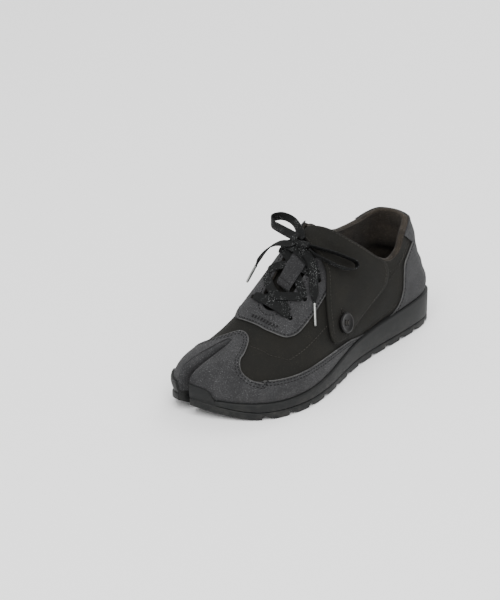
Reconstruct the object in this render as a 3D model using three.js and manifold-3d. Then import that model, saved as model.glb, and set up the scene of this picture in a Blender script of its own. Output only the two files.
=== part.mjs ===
import * as THREE from 'three';
import { mergeVertices } from 'three/addons/utils/BufferGeometryUtils.js';
import Module from 'manifold-3d';

const wasm = await Module();
wasm.setup();

// Main sizes of the left shoe in millimetres. The toes point to -Y and +X is the lateral side.
const LENGTH = 275;
const BALL_WIDTH = 102;
const COLLAR_HEIGHT = 99;
const SOLE_HEIGHT = 31;
const CLEARANCE = 0.3;

// Sole, from the floor up
const LUG_HEIGHT = 3.6;
const LUG_PITCH = 20.3;
const LUG_FLAT = 9.5;
const LUG_COUNT = 12;
const FIRST_LUG = -110;
const TREAD_PLATE = 3.1;
const TOE_SPRING = 10;
const SPRING_LENGTH = 32;
const EDGE_ROUND = 1.2;
const BUMPER_WALL = 1.6;
const INSOLE_THICKNESS = 3.2;
const INSOLE_PLAY = 1.2;

// Upper
const WALL = 2.2;
const COLLAR_PAD = 3.8;
const OVERLAY = 1.2;
const LEDGE = 2;
const TUCK = 2;
const TUCK_HEIGHT = 9;
const THROAT_WIDTH = 23.2;
const THROAT_CENTRE = -5.2;
const THROAT_FRONT = -52.5;

// Tongue, flap and button
const TONGUE_THICKNESS = 3.5;
const TONGUE_DEPTH = 5;
const FLAP_THICKNESS = 2;
const BUTTON_WIDTH = 17.5;
const BUTTON_THICKNESS = 3;
const BUTTON_EDGE = 0.8;
const BUTTON_RIM = 2;
const BUTTONHOLE_WIDTH = 5.6;
const SHANK_WIDTH = 3.6;
const KEEPER_WIDTH = 12;
const KEEPER_SHIFT = 2;

// Lacing
const EYELET_ROWS = 3;
const EYELET_PITCH = 18.1;
const EYELET_SPREAD = 39.8;
const FIRST_EYELET = -46;
const EYELET_HOLE = 4.4;
const LACE_WIDTH = 7.5;
const LACE_THICKNESS = 1.2;
const LACE_LIFT = 0.3;
const TIP_WIDTH = 2.4;
const TIP_LENGTH = 19;
const TIP_TAPER = 8;

// Toe split
const SPLIT_LENGTH = 52;
const SPLIT_WIDTH = 5;
const SPLIT_MOUTH = 6;
const SPLIT_ROLL = 6;
const SOLE_SPLIT_LENGTH = 26;
const SOLE_SPLIT_WIDTH = 4.5;

// The last: one row for each section from the toe tip to the heel.
// at: distance from the toe tip as a share of LENGTH
// lateral, medial: edge of the sole as a share of half of BALL_WIDTH
// foot: top edge of the midsole as a share of SOLE_HEIGHT
// ridge: where the top line of the upper runs, as a share of half of BALL_WIDTH
// top: top line of the closed form as a share of COLLAR_HEIGHT
// out, inn: roundness of the lateral and medial half, 2 for an ellipse and more for a fuller one
const SECTIONS = [
  { at: 0.000, lateral: -0.45, medial: -0.45, foot: 0.60, ridge: -0.45, top: 0.30, out: 2.3, inn: 2.3 },
  { at: 0.004, lateral: -0.24, medial: -0.61, foot: 0.59, ridge: -0.44, top: 0.34, out: 2.3, inn: 2.3 },
  { at: 0.018, lateral: -0.02, medial: -0.74, foot: 0.57, ridge: -0.44, top: 0.37, out: 2.3, inn: 2.3 },
  { at: 0.044, lateral: 0.22, medial: -0.85, foot: 0.53, ridge: -0.43, top: 0.40, out: 2.3, inn: 2.4 },
  { at: 0.084, lateral: 0.52, medial: -0.94, foot: 0.49, ridge: -0.42, top: 0.43, out: 2.2, inn: 2.5 },
  { at: 0.140, lateral: 0.79, medial: -0.99, foot: 0.47, ridge: -0.38, top: 0.46, out: 2.2, inn: 2.5 },
  { at: 0.205, lateral: 0.94, medial: -1.00, foot: 0.47, ridge: -0.30, top: 0.50, out: 2.1, inn: 2.5 },
  { at: 0.282, lateral: 1.00, medial: -0.96, foot: 0.50, ridge: -0.27, top: 0.605, out: 1.9, inn: 2.5 },
  { at: 0.373, lateral: 0.95, medial: -0.85, foot: 0.57, ridge: -0.28, top: 0.825, out: 1.65, inn: 2.6 },
  { at: 0.464, lateral: 0.83, medial: -0.72, foot: 0.67, ridge: -0.28, top: 1.06, out: 1.6, inn: 2.5 },
  { at: 0.555, lateral: 0.72, medial: -0.65, foot: 0.76, ridge: -0.24, top: 1.26, out: 1.65, inn: 2.3 },
  { at: 0.664, lateral: 0.67, medial: -0.67, foot: 0.84, ridge: -0.13, top: 1.36, out: 1.85, inn: 2.1 },
  { at: 0.791, lateral: 0.66, medial: -0.74, foot: 0.92, ridge: -0.06, top: 1.33, out: 2.0, inn: 2.0 },
  { at: 0.893, lateral: 0.63, medial: -0.73, foot: 0.97, ridge: -0.06, top: 1.29, out: 1.8, inn: 2.0 },
  { at: 0.951, lateral: 0.55, medial: -0.66, foot: 0.99, ridge: -0.06, top: 1.28, out: 1.8, inn: 2.0 },
  { at: 0.985, lateral: 0.38, medial: -0.49, foot: 1.00, ridge: -0.06, top: 1.28, out: 1.9, inn: 2.0 },
  { at: 1.000, lateral: -0.06, medial: -0.06, foot: 1.00, ridge: -0.06, top: 1.28, out: 2.0, inn: 2.0 },
];
const LAST_ROW = SECTIONS.length - 1;
const OTHER_SIDE = { lateral: 'medial', medial: 'lateral' };

// Back of the heel from the side: height as a share of COLLAR_HEIGHT, and how far the back
// leans forward there, as a share of LENGTH
const HEEL_BACK = [
  { height: 0.30, lean: -0.004 },
  { height: 0.42, lean: -0.008 },
  { height: 0.58, lean: -0.030 },
  { height: 0.72, lean: -0.050 },
  { height: 0.80, lean: -0.055 },
  { height: 0.86, lean: -0.053 },
  { height: 1.00, lean: -0.063 },
  { height: 1.40, lean: -0.083 },
];
const LEAN_STARTS_AT = 0.80;

// Collar line from the side, on each side: at as a share of LENGTH, height of COLLAR_HEIGHT
const COLLAR_LINE = [
  { at: 0.538, lateral: 1.190, medial: 1.215 },
  { at: 0.575, lateral: 1.130, medial: 1.160 },
  { at: 0.618, lateral: 1.050, medial: 1.078 },
  { at: 0.660, lateral: 0.950, medial: 1.015 },
  { at: 0.710, lateral: 0.840, medial: 0.965 },
  { at: 0.755, lateral: 0.788, medial: 0.948 },
  { at: 0.805, lateral: 0.828, medial: 0.946 },
  { at: 0.842, lateral: 0.920, medial: 0.955 },
  { at: 0.880, lateral: 0.975, medial: 0.985 },
  { at: 0.930, lateral: 1.020, medial: 1.020 },
  { at: 1.050, lateral: 1.030, medial: 1.030 },
];

// Edge of the toe overlay from above, from the lateral to the medial side: at as a share of
// LENGTH, across as a share of half of BALL_WIDTH
const TOE_EDGE = [
  { at: 0.141, across: 0.652 },
  { at: 0.114, across: 0.470 },
  { at: 0.109, across: 0.287 },
  { at: 0.134, across: 0.145 },
  { at: 0.167, across: 0.091 },
  { at: 0.210, across: -0.023 },
  { at: 0.228, across: -0.144 },
  { at: 0.228, across: -0.302 },
  { at: 0.199, across: -0.467 },
  { at: 0.156, across: -0.665 },
  { at: 0.150, across: -0.790 },
  { at: 0.180, across: -0.900 },
];

// Upper edge of the same overlay from the side, along the sole
const TOE_BAND = {
  lateral: [
    { at: 0.141, height: 0.319 },
    { at: 0.181, height: 0.309 },
    { at: 0.248, height: 0.308 },
    { at: 0.336, height: 0.322 },
    { at: 0.418, height: 0.324 },
    { at: 0.512, height: 0.305 },
    { at: 0.572, height: 0.268 },
    { at: 0.606, height: 0.250 },
  ],
  medial: [
    { at: 0.180, height: 0.335 },
    { at: 0.220, height: 0.300 },
    { at: 0.336, height: 0.290 },
    { at: 0.427, height: 0.290 },
    { at: 0.518, height: 0.280 },
    { at: 0.590, height: 0.245 },
  ],
};

// Outer edge of the eyestay, from above on the lateral side and from the side on the medial side
const EYESTAY_LATERAL = [
  { at: 0.267, across: -0.102 },
  { at: 0.268, across: 0.106 },
  { at: 0.281, across: 0.360 },
  { at: 0.298, across: 0.458 },
  { at: 0.330, across: 0.506 },
  { at: 0.400, across: 0.480 },
  { at: 0.462, across: 0.435 },
  { at: 0.530, across: 0.370 },
  { at: 0.580, across: 0.320 },
];
const EYESTAY_MEDIAL = [
  { at: 0.267, height: 0.565 },
  { at: 0.298, height: 0.580 },
  { at: 0.330, height: 0.570 },
  { at: 0.362, height: 0.588 },
  { at: 0.409, height: 0.648 },
  { at: 0.464, height: 0.737 },
  { at: 0.518, height: 0.848 },
  { at: 0.565, height: 0.960 },
  { at: 0.609, height: 1.050 },
];

// Heel pieces from the side: front edge of the counter up to the tab, and the tab's top corner
const COUNTER_EDGE = [
  { at: 0.745, height: 0.240 },
  { at: 0.763, height: 0.300 },
  { at: 0.788, height: 0.375 },
  { at: 0.805, height: 0.472 },
  { at: 0.812, height: 0.600 },
  { at: 0.821, height: 0.700 },
  { at: 0.850, height: 0.770 },
  { at: 0.886, height: 0.826 },
];
const TAB_CORNER = { at: 0.833, height: 0.957 };

// Top edge of the rubber in front of the toes: across the lateral lobe, along the medial one
const BUMPER_LATERAL = [
  { across: -0.60, height: 0.98 },
  { across: -0.20, height: 0.94 },
  { across: 0.03, height: 0.82 },
  { across: 0.10, height: 0.55 },
  { across: 0.17, height: 0.36 },
  { across: 0.30, height: 0.10 },
];
const BUMPER_MEDIAL = [
  { at: -0.020, height: 0.90 },
  { at: 0.056, height: 0.87 },
  { at: 0.092, height: 0.55 },
  { at: 0.114, height: 0.32 },
  { at: 0.140, height: 0.10 },
];

// Flap from its root in the throat to its tip: row and turn of the last at its front and back
// edge, and the height of its underside over the last
const FLAP_ROWS = [
  { front: 9.42, frontTurn: 0.550, back: 9.72, backTurn: 0.550, lift: -4.6 },
  { front: 9.40, frontTurn: 0.515, back: 9.72, backTurn: 0.510, lift: -4.2 },
  { front: 9.40, frontTurn: 0.475, back: 9.76, backTurn: 0.465, lift: -0.6 },
  { front: 9.38, frontTurn: 0.435, back: 9.90, backTurn: 0.420, lift: 2.0 },
  { front: 9.35, frontTurn: 0.395, back: 10.12, backTurn: 0.370, lift: 2.5 },
  { front: 9.38, frontTurn: 0.344, back: 10.45, backTurn: 0.302, lift: 2.7 },
  { front: 9.33, frontTurn: 0.293, back: 11.00, backTurn: 0.220, lift: 2.7 },
  { front: 9.12, frontTurn: 0.264, back: 11.42, backTurn: 0.170, lift: 2.6 },
  { front: 8.86, frontTurn: 0.232, back: 11.48, backTurn: 0.132, lift: 2.3 },
  { front: 8.66, frontTurn: 0.199, back: 11.31, backTurn: 0.102, lift: 2.0 },
  { front: 8.52, frontTurn: 0.165, back: 10.83, backTurn: 0.088, lift: 2.0 },
  { front: 8.47, frontTurn: 0.135, back: 10.07, backTurn: 0.077, lift: 2.0 },
  { front: 8.52, frontTurn: 0.112, back: 9.52, backTurn: 0.075, lift: 2.0 },
  { front: 8.68, frontTurn: 0.096, back: 9.08, backTurn: 0.082, lift: 2.0 },
];
const BUTTON_SPOT = { row: 9.27, turn: 0.126 };

// Tongue: how far it reaches, from the toe end to its top
const TONGUE = { front: -60, back: 8, medial: -29, lateral: 19 };

// Keeper loop on the tongue, from front to back: places of its outer and inner face along the
// foot, and their heights over the last
const KEEPER_ROWS = [
  { outer: -33.6, outerLift: -4.5, inner: -32.6, innerLift: -4.5 },
  { outer: -33.6, outerLift: 1.0, inner: -32.6, innerLift: 1.0 },
  { outer: -32.8, outerLift: 3.5, inner: -32.0, innerLift: 2.7 },
  { outer: -31.0, outerLift: 4.5, inner: -31.0, innerLift: 3.5 },
  { outer: -25.5, outerLift: 4.6, inner: -25.5, innerLift: 3.6 },
  { outer: -20.0, outerLift: 4.7, inner: -20.0, innerLift: 3.7 },
  { outer: -14.0, outerLift: 4.6, inner: -14.0, innerLift: 3.6 },
  { outer: -8.4, outerLift: 4.4, inner: -8.4, innerLift: 3.4 },
  { outer: -6.0, outerLift: 3.5, inner: -6.8, innerLift: 2.7 },
  { outer: -5.2, outerLift: 1.0, inner: -6.2, innerLift: 1.0 },
  { outer: -5.2, outerLift: -4.5, inner: -6.2, innerLift: -4.5 },
];

// Runs of the lace over the throat: places from above in millimetres, and how much higher than
// the eyestay they pass
const LACE_RUNS = [
  [{ x: -25.1, y: -46, rise: 0 }, { x: -5.2, y: -46.6, rise: 0.3 }, { x: 14.7, y: -46, rise: 0 }],
  [{ x: -14, y: -47, rise: 0 }, { x: 1, y: -38.5, rise: 0 }, { x: 14.7, y: -27.9, rise: 0 }],
  [{ x: 10, y: -44, rise: 0 }, { x: -12, y: -38, rise: 0 }, { x: -25.1, y: -28, rise: 0.5 }],
  [{ x: -25.1, y: -27.9, rise: 0.5 }, { x: -5.2, y: -18.8, rise: 0 }, { x: 14.7, y: -9.8, rise: 0 }],
  [{ x: 14.7, y: -27.9, rise: 0 }, { x: -5.2, y: -18.8, rise: 0 }, { x: -25.1, y: -9.8, rise: 0.7 }],
  [{ x: -25.1, y: -9.8, rise: 0.7 }, { x: -12, y: -9.9, rise: 3.2 }, { x: -4, y: -9.9, rise: 3.4 },
    { x: 4, y: -9.9, rise: 3.2 }, { x: 14.7, y: -9.8, rise: 0 }],
];

// Half of the flat lace's section, from edge to edge: shares of half its width and thickness
const LACE_SECTION = [[1, -1], [1, 1], [-1, 1], [-1, -1]];

// The bow from the knot outwards, in millimetres: centre lines of the flat lace, and the
// direction of its width at the start, in the middle and at the end
const KNOT = { width: 11, depth: 8.4, height: 6, x: -0.8, y: -11.4, z: 112.7, turn: 0.3 };
const BOW = {
  loopLateral: {
    wide: [[0.5, -0.5, 0.7], [0.8, -0.3, 0.5], [0.5, -0.5, 0.7]],
    steps: 18,
    route: [[5.8, -6.7, 111.2], [11.1, -2.8, 109.1], [19, 5.8, 104.9], [25.3, 15.2, 98.9],
      [28.9, 21.5, 94.0], [31.2, 20.0, 90.4], [29.4, 14.3, 90], [25.1, 5, 94.3],
      [16.8, -4.4, 101.4], [9, -9.3, 106.2]],
  },
  loopMedial: {
    wide: [[0, 0.78, 0.62], [0, 0, 1], [0, 0.78, 0.62]],
    steps: 20,
    route: [[-10.6, -3.4, 118], [-22.2, 3.7, 121], [-32.9, 7.2, 121.5], [-41.5, 6.9, 121],
      [-45.4, 0.8, 119.8], [-40.6, -4.6, 118], [-32, -7, 117.7], [-18.4, -9.5, 117.3],
      [-6.8, -12, 117.4]],
  },
  endFront: {
    wide: [[0.6, 0.8, 0], [0.6, 0.8, 0], [0.6, 0.8, 0]],
    steps: 10,
    tip: TIP_TAPER,
    route: [[3.1, -13.7, 107.4], [5.9, -13.2, 104.9], [9.1, -13.2, 100.5], [12.9, -15.1, 93.2],
      [17.9, -19.8, 81.8], [23.1, -25.3, 71.8]],
  },
  endMedial: {
    wide: [[0, 0.78, 0.62], [0, 1, 0.2], [0, 1, 0]],
    steps: 12,
    tip: TIP_TAPER,
    route: [[-9.4, -11.4, 112.6], [-15.5, -14.6, 110.6], [-22, -15.8, 109.4],
      [-27.5, -17, 106.8], [-33, -18.5, 102.4], [-39, -21, 94.1], [-43, -22.6, 85.5]],
  },
};

const half = BALL_WIDTH / 2;
const FAR = LENGTH;
const RING = 20;

// Row numbers of the rings of a form: closer behind the toe tip, where the rows lie far apart
const STATIONS = SECTIONS.flatMap((_, i) => (i < 3 || i === LAST_ROW ? [i] : [i, i + 0.5]));

const mix = (a, b, t) => a + (b - a) * t;
const clamp01 = (t) => Math.min(Math.max(t, 0), 1);
const ease = (t) => clamp01(t) ** 2 * (3 - 2 * clamp01(t));
const along = (share) => (share - 0.5) * LENGTH;
const vector = (x, y, z) => new THREE.Vector3(x, y, z);

// Smooth curve through one column of a table, at a row number that may lie between two rows.
// Past its ends the table is mirrored, and columns named in swap change over.
function rowAt(table, index, key, swap = {}) {
  const last = table.length - 1;
  const value = (i) => {
    if (i < 0) return table[-i][swap[key] ?? key];
    if (i > last) return table[2 * last - i][swap[key] ?? key];
    return table[i][key];
  };
  const i = Math.min(Math.max(Math.floor(index), 0), last - 1);
  const t = index - i;
  const [a, b, c, d] = [value(i - 1), value(i), value(i + 1), value(i + 2)];
  return b + 0.5 * t * (c - a + t * (2 * a - 5 * b + 4 * c - d + t * (3 * (b - c) + d - a)));
}

function section(index) {
  const get = (key) => rowAt(SECTIONS, index, key, OTHER_SIDE);
  return {
    y: along(get('at')),
    lateral: get('lateral') * half,
    medial: get('medial') * half,
    foot: get('foot') * SOLE_HEIGHT,
    ridge: get('ridge') * half,
    top: get('top') * COLLAR_HEIGHT,
    out: get('out'),
    inn: get('inn'),
  };
}

// Point of the sole's outline on one side, moved inwards by an inset
function soleEdge(index, key, inset) {
  const s = section(index);
  const step = 0.02;
  const before = section(Math.max(index - step, 0));
  const after = section(Math.min(index + step, LAST_ROW));
  const sign = key === 'lateral' ? 1 : -1;
  const normal = new THREE.Vector2(after.y - before.y, before[key] - after[key]).normalize();
  if (index <= 0) normal.set(0, -sign);
  if (index >= LAST_ROW) normal.set(0, sign);
  return { x: s[key] - sign * normal.x * inset, y: s.y - sign * normal.y * inset };
}

function heelLean(y, z) {
  const height = z / COLLAR_HEIGHT;
  let i = 0;
  while (i < HEEL_BACK.length - 2 && HEEL_BACK[i + 1].height < height) i += 1;
  const [low, high] = [HEEL_BACK[i], HEEL_BACK[i + 1]];
  const lean = mix(low.lean, high.lean, ease((height - low.height) / (high.height - low.height)));
  return lean * LENGTH * ease((y / LENGTH + 0.5 - LEAN_STARTS_AT) / (1 - LEAN_STARTS_AT));
}

// Point of the last. index runs along SECTIONS, and turn goes from 0 at the lateral foot
// over the ridge to 1 at the medial foot.
function lastPoint(index, turn) {
  const s = section(index);
  const angle = turn * Math.PI;
  const round = turn < 0.5 ? s.out : s.inn;
  const up = Math.max(Math.sin(angle), 0) ** (2 / round);
  const out = Math.abs(Math.cos(angle)) ** (2 / round);
  const z = mix(s.foot, s.top, up);
  const inset = LEDGE + TUCK * clamp01(1 - (z - s.foot) / TUCK_HEIGHT) ** 2;
  const lateral = soleEdge(index, 'lateral', inset);
  const medial = soleEdge(index, 'medial', inset);
  const side = turn < 0.5 ? lateral : medial;
  const y = mix((lateral.y + medial.y) / 2, side.y, out);
  return vector(mix(s.ridge, side.x, out), y + heelLean(y, z), z);
}

// Direction out of the last. At the two ends both sides share one direction.
function lastNormal(index, turn) {
  const step = 0.004;
  if (index <= 0 || index >= LAST_ROW) {
    const near = index <= 0 ? 3 * step : LAST_ROW - 3 * step;
    return lastNormal(near, turn).add(lastNormal(near, 1 - turn)).setX(0).normalize();
  }
  const [i0, i1] = [Math.max(index - step, step / 2), Math.min(index + step, LAST_ROW - step / 2)];
  const [t0, t1] = [Math.max(turn - step, 0), Math.min(turn + step, 1)];
  const across = lastPoint(index, t1).sub(lastPoint(index, t0));
  return lastPoint(i1, turn).sub(lastPoint(i0, turn)).cross(across).normalize();
}

const overLast = (index, turn, offset) => (
  lastPoint(index, turn).addScaledVector(lastNormal(index, turn), offset));

// Row number of the section at a length
function rowOf(y) {
  let [low, high] = [0, LAST_ROW];
  while (high - low > 1e-6) {
    const middle = (low + high) / 2;
    if (section(middle).y < y) low = middle;
    else high = middle;
  }
  return low;
}

// Turn of the point at a width on a section
function turnOf(index, x) {
  const s = section(index);
  const lateral = x > s.ridge;
  const edge = lateral ? s.lateral - LEDGE : s.medial + LEDGE;
  const out = clamp01((x - s.ridge) / (edge - s.ridge));
  const turn = Math.acos(out ** ((lateral ? s.out : s.inn) / 2)) / Math.PI;
  return lateral ? turn : 1 - turn;
}

// Place over the last, given from above
function overPlan(x, y, offset) {
  const index = rowOf(y);
  return overLast(index, turnOf(index, x), offset);
}

// Body from a row of rings of as many points each, closed at its ends where capped
function loft(rings, capped) {
  const count = rings[0].length;
  const indices = [];
  for (let i = 0; i < rings.length - 1; i += 1) {
    for (let j = 0; j < count; j += 1) {
      const a = i * count + j;
      const b = i * count + (j + 1) % count;
      indices.push(a, b + count, b, a, a + count, b + count);
    }
  }
  const last = (rings.length - 1) * count;
  for (let j = 1; capped && j < count - 1; j += 1) {
    indices.push(0, j, j + 1, last, last + j + 1, last + j);
  }
  const geometry = new THREE.BufferGeometry().setFromPoints(rings.flat());
  geometry.setIndex(indices);
  return solid(geometry);
}

// Solid from a closed geometry, with shared corners merged and empty triangles left out
function solid(geometry) {
  geometry.deleteAttribute('normal');
  geometry.deleteAttribute('uv');
  const merged = mergeVertices(geometry, 1e-4);
  const order = Array.from(merged.index.array);
  const triangles = [];
  for (let i = 0; i < order.length; i += 3) {
    const [a, b, c] = order.slice(i, i + 3);
    if (a !== b && b !== c && c !== a) triangles.push(a, b, c);
  }
  return new wasm.Manifold(new wasm.Mesh({
    numProp: 3,
    vertProperties: new Float32Array(merged.attributes.position.array),
    triVerts: new Uint32Array(triangles),
  }));
}

function geometryOf(body) {
  const { vertProperties, triVerts } = body.getMesh();
  const geometry = new THREE.BufferGeometry();
  geometry.setAttribute('position', new THREE.BufferAttribute(vertProperties, 3));
  geometry.setIndex(new THREE.BufferAttribute(triVerts, 1));
  geometry.computeVertexNormals();
  return geometry;
}

// Closed form of the last, moved out by offset, with a skirt dropped below its foot
function lastForm(offset, drop = 5) {
  const rings = STATIONS.map((index) => {
    const ring = [];
    for (let j = 0; j <= RING; j += 1) {
      const distance = typeof offset === 'function' ? offset(lastPoint(index, j / RING)) : offset;
      ring.push(overLast(index, j / RING, distance));
    }
    const [first, last] = [ring[0], ring[RING]];
    ring.unshift(first.clone().setZ(first.z - drop));
    ring.push(last.clone().setZ(last.z - drop));
    return ring;
  });
  return loft(rings, false);
}

// What lies under a height given for each section
function under(heightOf) {
  const wall = (s, y = s.y) => [vector(FAR, y, -FAR), vector(FAR, y, heightOf(s)),
    vector(-FAR, y, heightOf(s)), vector(-FAR, y, -FAR)];
  const rings = STATIONS.map((index) => wall(section(index)));
  rings.unshift(wall(section(0), -FAR));
  rings.push(wall(section(LAST_ROW), FAR));
  return loft(rings, true);
}

// Prism of a flat outline. From above its points are (x, y) and it stands along Z, from the
// side they are (y, z) and it runs along X, and from the front (x, z) and it runs against Y.
const VIEWS = {
  above: [[1, 0, 0], [0, 1, 0], [0, 0, 1]],
  side: [[0, 1, 0], [0, 0, 1], [1, 0, 0]],
  front: [[1, 0, 0], [0, 0, 1], [0, -1, 0]],
};
function prism(points, view, from, to) {
  const shape = new THREE.Shape(points.map(([u, v]) => new THREE.Vector2(u, v)));
  const geometry = new THREE.ExtrudeGeometry(shape, { depth: to - from, bevelEnabled: false });
  const [u, v, w] = VIEWS[view].map((axis) => vector(...axis));
  const place = new THREE.Matrix4().makeBasis(u, v, w);
  place.setPosition(w.clone().multiplyScalar(from));
  return solid(geometry.applyMatrix4(place));
}

// Points of a smooth curve through the rows of a table
function curve(rows, toPoint, steps) {
  const spline = new THREE.SplineCurve(rows.map((row) => new THREE.Vector2(...toPoint(row))));
  return spline.getPoints(steps).map((p) => [p.x, p.y]);
}
const fromSide = (row) => [along(row.at), row.height * COLLAR_HEIGHT];
const fromAbove = (row) => [row.across * half, along(row.at)];

// Collar cut: what lies above the collar line, each side by its own line
function collarCutter() {
  const cut = (key, from, to) => {
    const line = curve(COLLAR_LINE, (row) => [along(row.at), row[key] * COLLAR_HEIGHT], 18);
    return prism([[line[0][0], FAR], ...line, [line[line.length - 1][0], FAR]], 'side', from, to);
  };
  return cut('lateral', THROAT_CENTRE - CLEARANCE, FAR).add(cut('medial', -FAR, THROAT_CENTRE));
}

// Throat cut: a round-ended slot along the instep
function throatCutter() {
  const radius = THROAT_WIDTH / 2;
  const back = along(COLLAR_LINE[0].at) + radius;
  const steps = 8;
  const points = [[THROAT_CENTRE + radius, back], [THROAT_CENTRE - radius, back]];
  for (let i = 0; i <= steps; i += 1) {
    const angle = Math.PI * (1 + i / steps);
    points.push([THROAT_CENTRE + radius * Math.cos(angle), THROAT_FRONT + radius * (1 + Math.sin(angle))]);
  }
  return prism(points, 'above', SOLE_HEIGHT, FAR);
}

// Centre line of the toe split, and half of its width, with a rounded mouth
const splitLine = (y) => mix(-0.40, -0.31, (y - along(0)) / SPLIT_LENGTH) * half;
function splitHalfWidth(y, width, length) {
  const t = clamp01((along(0) + length - y) / length);
  const mouth = clamp01((along(0) + 2 * SPLIT_MOUTH - y) / (2 * SPLIT_MOUTH));
  return width / 2 * Math.sqrt(t) + SPLIT_MOUTH * (1 - Math.sqrt(1 - 0.98 * mouth ** 2));
}

// Toe split in the upper, widened by grow: straight walls that roll over into the top
function splitCutter(grow) {
  const rows = 8;
  const rolls = 3;
  const end = along(0) + SPLIT_LENGTH;
  const rings = [];
  for (let i = 0; i <= rows; i += 1) {
    const y = mix(along(-0.02), end + grow, Math.sin(Math.PI / 2 * i / rows));
    const x = splitLine(y);
    const index = rowOf(Math.max(y, along(0.02)));
    const share = Math.sqrt(clamp01((end - y) / SPLIT_LENGTH));
    const roll = mix(1.5, SPLIT_ROLL, share);
    const radius = Math.max(roll - grow, 0.3);
    const wall = Math.max(splitHalfWidth(y, SPLIT_WIDTH, SPLIT_LENGTH) + grow, 0.05);
    const top = lastPoint(index, turnOf(index, x)).z + CLEARANCE - grow;
    const side = [[wall, 0]];
    for (let k = 0; k <= rolls; k += 1) {
      const angle = Math.PI / 2 * k / rolls;
      side.push([wall + radius * (1 - Math.cos(angle)), top - radius * (1 - Math.sin(angle))]);
    }
    const edge = wall + radius + grow / 2 + 0.02;
    side.push([edge, top + 0.02], [edge + 0.02, FAR]);
    const lateral = side.map(([w, z]) => vector(x + w, y, z));
    const medial = side.reverse().map(([w, z]) => vector(x - w, y, z));
    rings.push([...lateral, ...medial]);
  }
  return loft(rings, true);
}

// Toe split in the sole, widened by grow
function soleSplitCutter(grow) {
  const rows = 10;
  const end = along(0) + SOLE_SPLIT_LENGTH + grow;
  const wall = (sign) => Array.from({ length: rows + 1 }, (_, i) => {
    const y = mix(along(-0.02), end, Math.sin(Math.PI / 2 * i / rows));
    const width = splitHalfWidth(y, SOLE_SPLIT_WIDTH, SOLE_SPLIT_LENGTH) + Math.max(grow, 0.05);
    return [splitLine(y) + sign * width, y];
  });
  return prism([...wall(1), ...wall(-1).reverse()], 'above', -FAR, FAR);
}

// Height of the tread over the floor, which rises under the toes
const toeSpring = (y) => TOE_SPRING * clamp01((along(0) + SPRING_LENGTH - y) / SPRING_LENGTH) ** 1.6;

// Layer of the sole with its edge moved inwards by inset, between two heights given for each
// section, and with both edges broken
function soleLayer(inset, bottom, top) {
  const rings = STATIONS.map((index) => {
    const s = section(index);
    const [low, high] = [bottom(s), top(s)];
    const round = Math.min(EDGE_ROUND, (high - low) / 3);
    const side = [[round, low], [0, low + round], [0, high - round], [round, high]];
    const edge = (key, [more, z]) => {
      const { x, y } = soleEdge(index, key, inset + more);
      return vector(x, y, z);
    };
    const lateral = side.map((step) => edge('lateral', step));
    const medial = side.reverse().map((step) => edge('medial', step));
    return [...lateral, ...medial];
  });
  return loft(rings, false);
}

// Outer face of the overlays over the last, and the upper's distance behind the slot's face
const TOE_SKIN = OVERLAY + CLEARANCE;
const SLOT_SKIN = OVERLAY + 2 * CLEARANCE;
const PLATE_TOP = LUG_HEIGHT + TREAD_PLATE;
const plateTop = (s) => toeSpring(s.y) + PLATE_TOP;

// Where the front rubber covers the toes, widened by grow
function bumperRegion(grow) {
  const height = (row) => row.height * SOLE_HEIGHT + grow;
  const lateral = curve(BUMPER_LATERAL, (row) => [row.across * half + grow, height(row)], 12);
  const medial = curve(BUMPER_MEDIAL, (row) => [along(row.at) + grow, height(row)], 12);
  const low = 1;
  const middle = splitLine(along(0));
  const front = prism([[middle, low], [middle, lateral[0][1]], ...lateral.filter(([x]) => x > middle),
    [lateral[lateral.length - 1][0], low]], 'front', LENGTH / 3, FAR);
  const side = prism([...medial, [medial[medial.length - 1][0], low], [medial[0][0], low]],
    'side', -FAR, middle);
  return front.add(side);
}

function makeOutsole() {
  let body = soleLayer(0, (s) => toeSpring(s.y), plateTop);
  for (let i = 0; i < LUG_COUNT; i += 1) {
    const start = FIRST_LUG + i * LUG_PITCH + LUG_FLAT / 2;
    const end = start + LUG_PITCH - LUG_FLAT;
    const low = toeSpring(end);
    body = body.subtract(prism([[start, -1], [start + 0.6, low + LUG_HEIGHT],
      [start + 2.6, low + LUG_HEIGHT], [end - 1, low], [end, -1]], 'side', -FAR, FAR));
  }
  const outer = lastForm(TOE_SKIN + CLEARANCE + BUMPER_WALL, SOLE_HEIGHT / 2);
  const inner = lastForm(TOE_SKIN + CLEARANCE, SOLE_HEIGHT);
  const bumper = outer.subtract(inner).intersect(bumperRegion(0))
    .subtract(under((s) => plateTop(s) - EDGE_ROUND));
  return body.add(bumper).subtract(soleSplitCutter(0)).subtract(splitCutter(0));
}

function makeMidsole() {
  const body = soleLayer(0, (s) => plateTop(s) + CLEARANCE, (s) => s.foot);
  const inner = lastForm(TOE_SKIN, SOLE_HEIGHT);
  return body.subtract(bumperRegion(CLEARANCE).subtract(inner)).subtract(soleSplitCutter(0));
}

function makeInsole() {
  const inset = LEDGE + TUCK + WALL + INSOLE_PLAY;
  const body = soleLayer(inset, (s) => s.foot + CLEARANCE, (s) => s.foot + CLEARANCE + INSOLE_THICKNESS);
  return body.subtract(splitCutter(SLOT_SKIN + WALL + INSOLE_PLAY));
}

const collar = collarCutter();
const throat = throatCutter();
const below = under((s) => s.foot + CLEARANCE);

// Skin on the last between two offsets, cut by a region
const skin = lastForm(TOE_SKIN).subtract(lastForm(CLEARANCE, 8)).subtract(below);
const trimmed = (region) => skin.intersect(region).subtract(collar).subtract(throat);

// Geometry that stands along Y, moved to a place and turned to stand along a direction
function stand(geometry, place, direction) {
  const turn = new THREE.Quaternion().setFromUnitVectors(vector(0, 1, 0), direction);
  return solid(geometry.applyMatrix4(new THREE.Matrix4().compose(place, turn, vector(1, 1, 1))));
}

const rod = (width, length, sides) => (
  new THREE.CylinderGeometry(width / 2, width / 2, length, sides));

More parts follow.
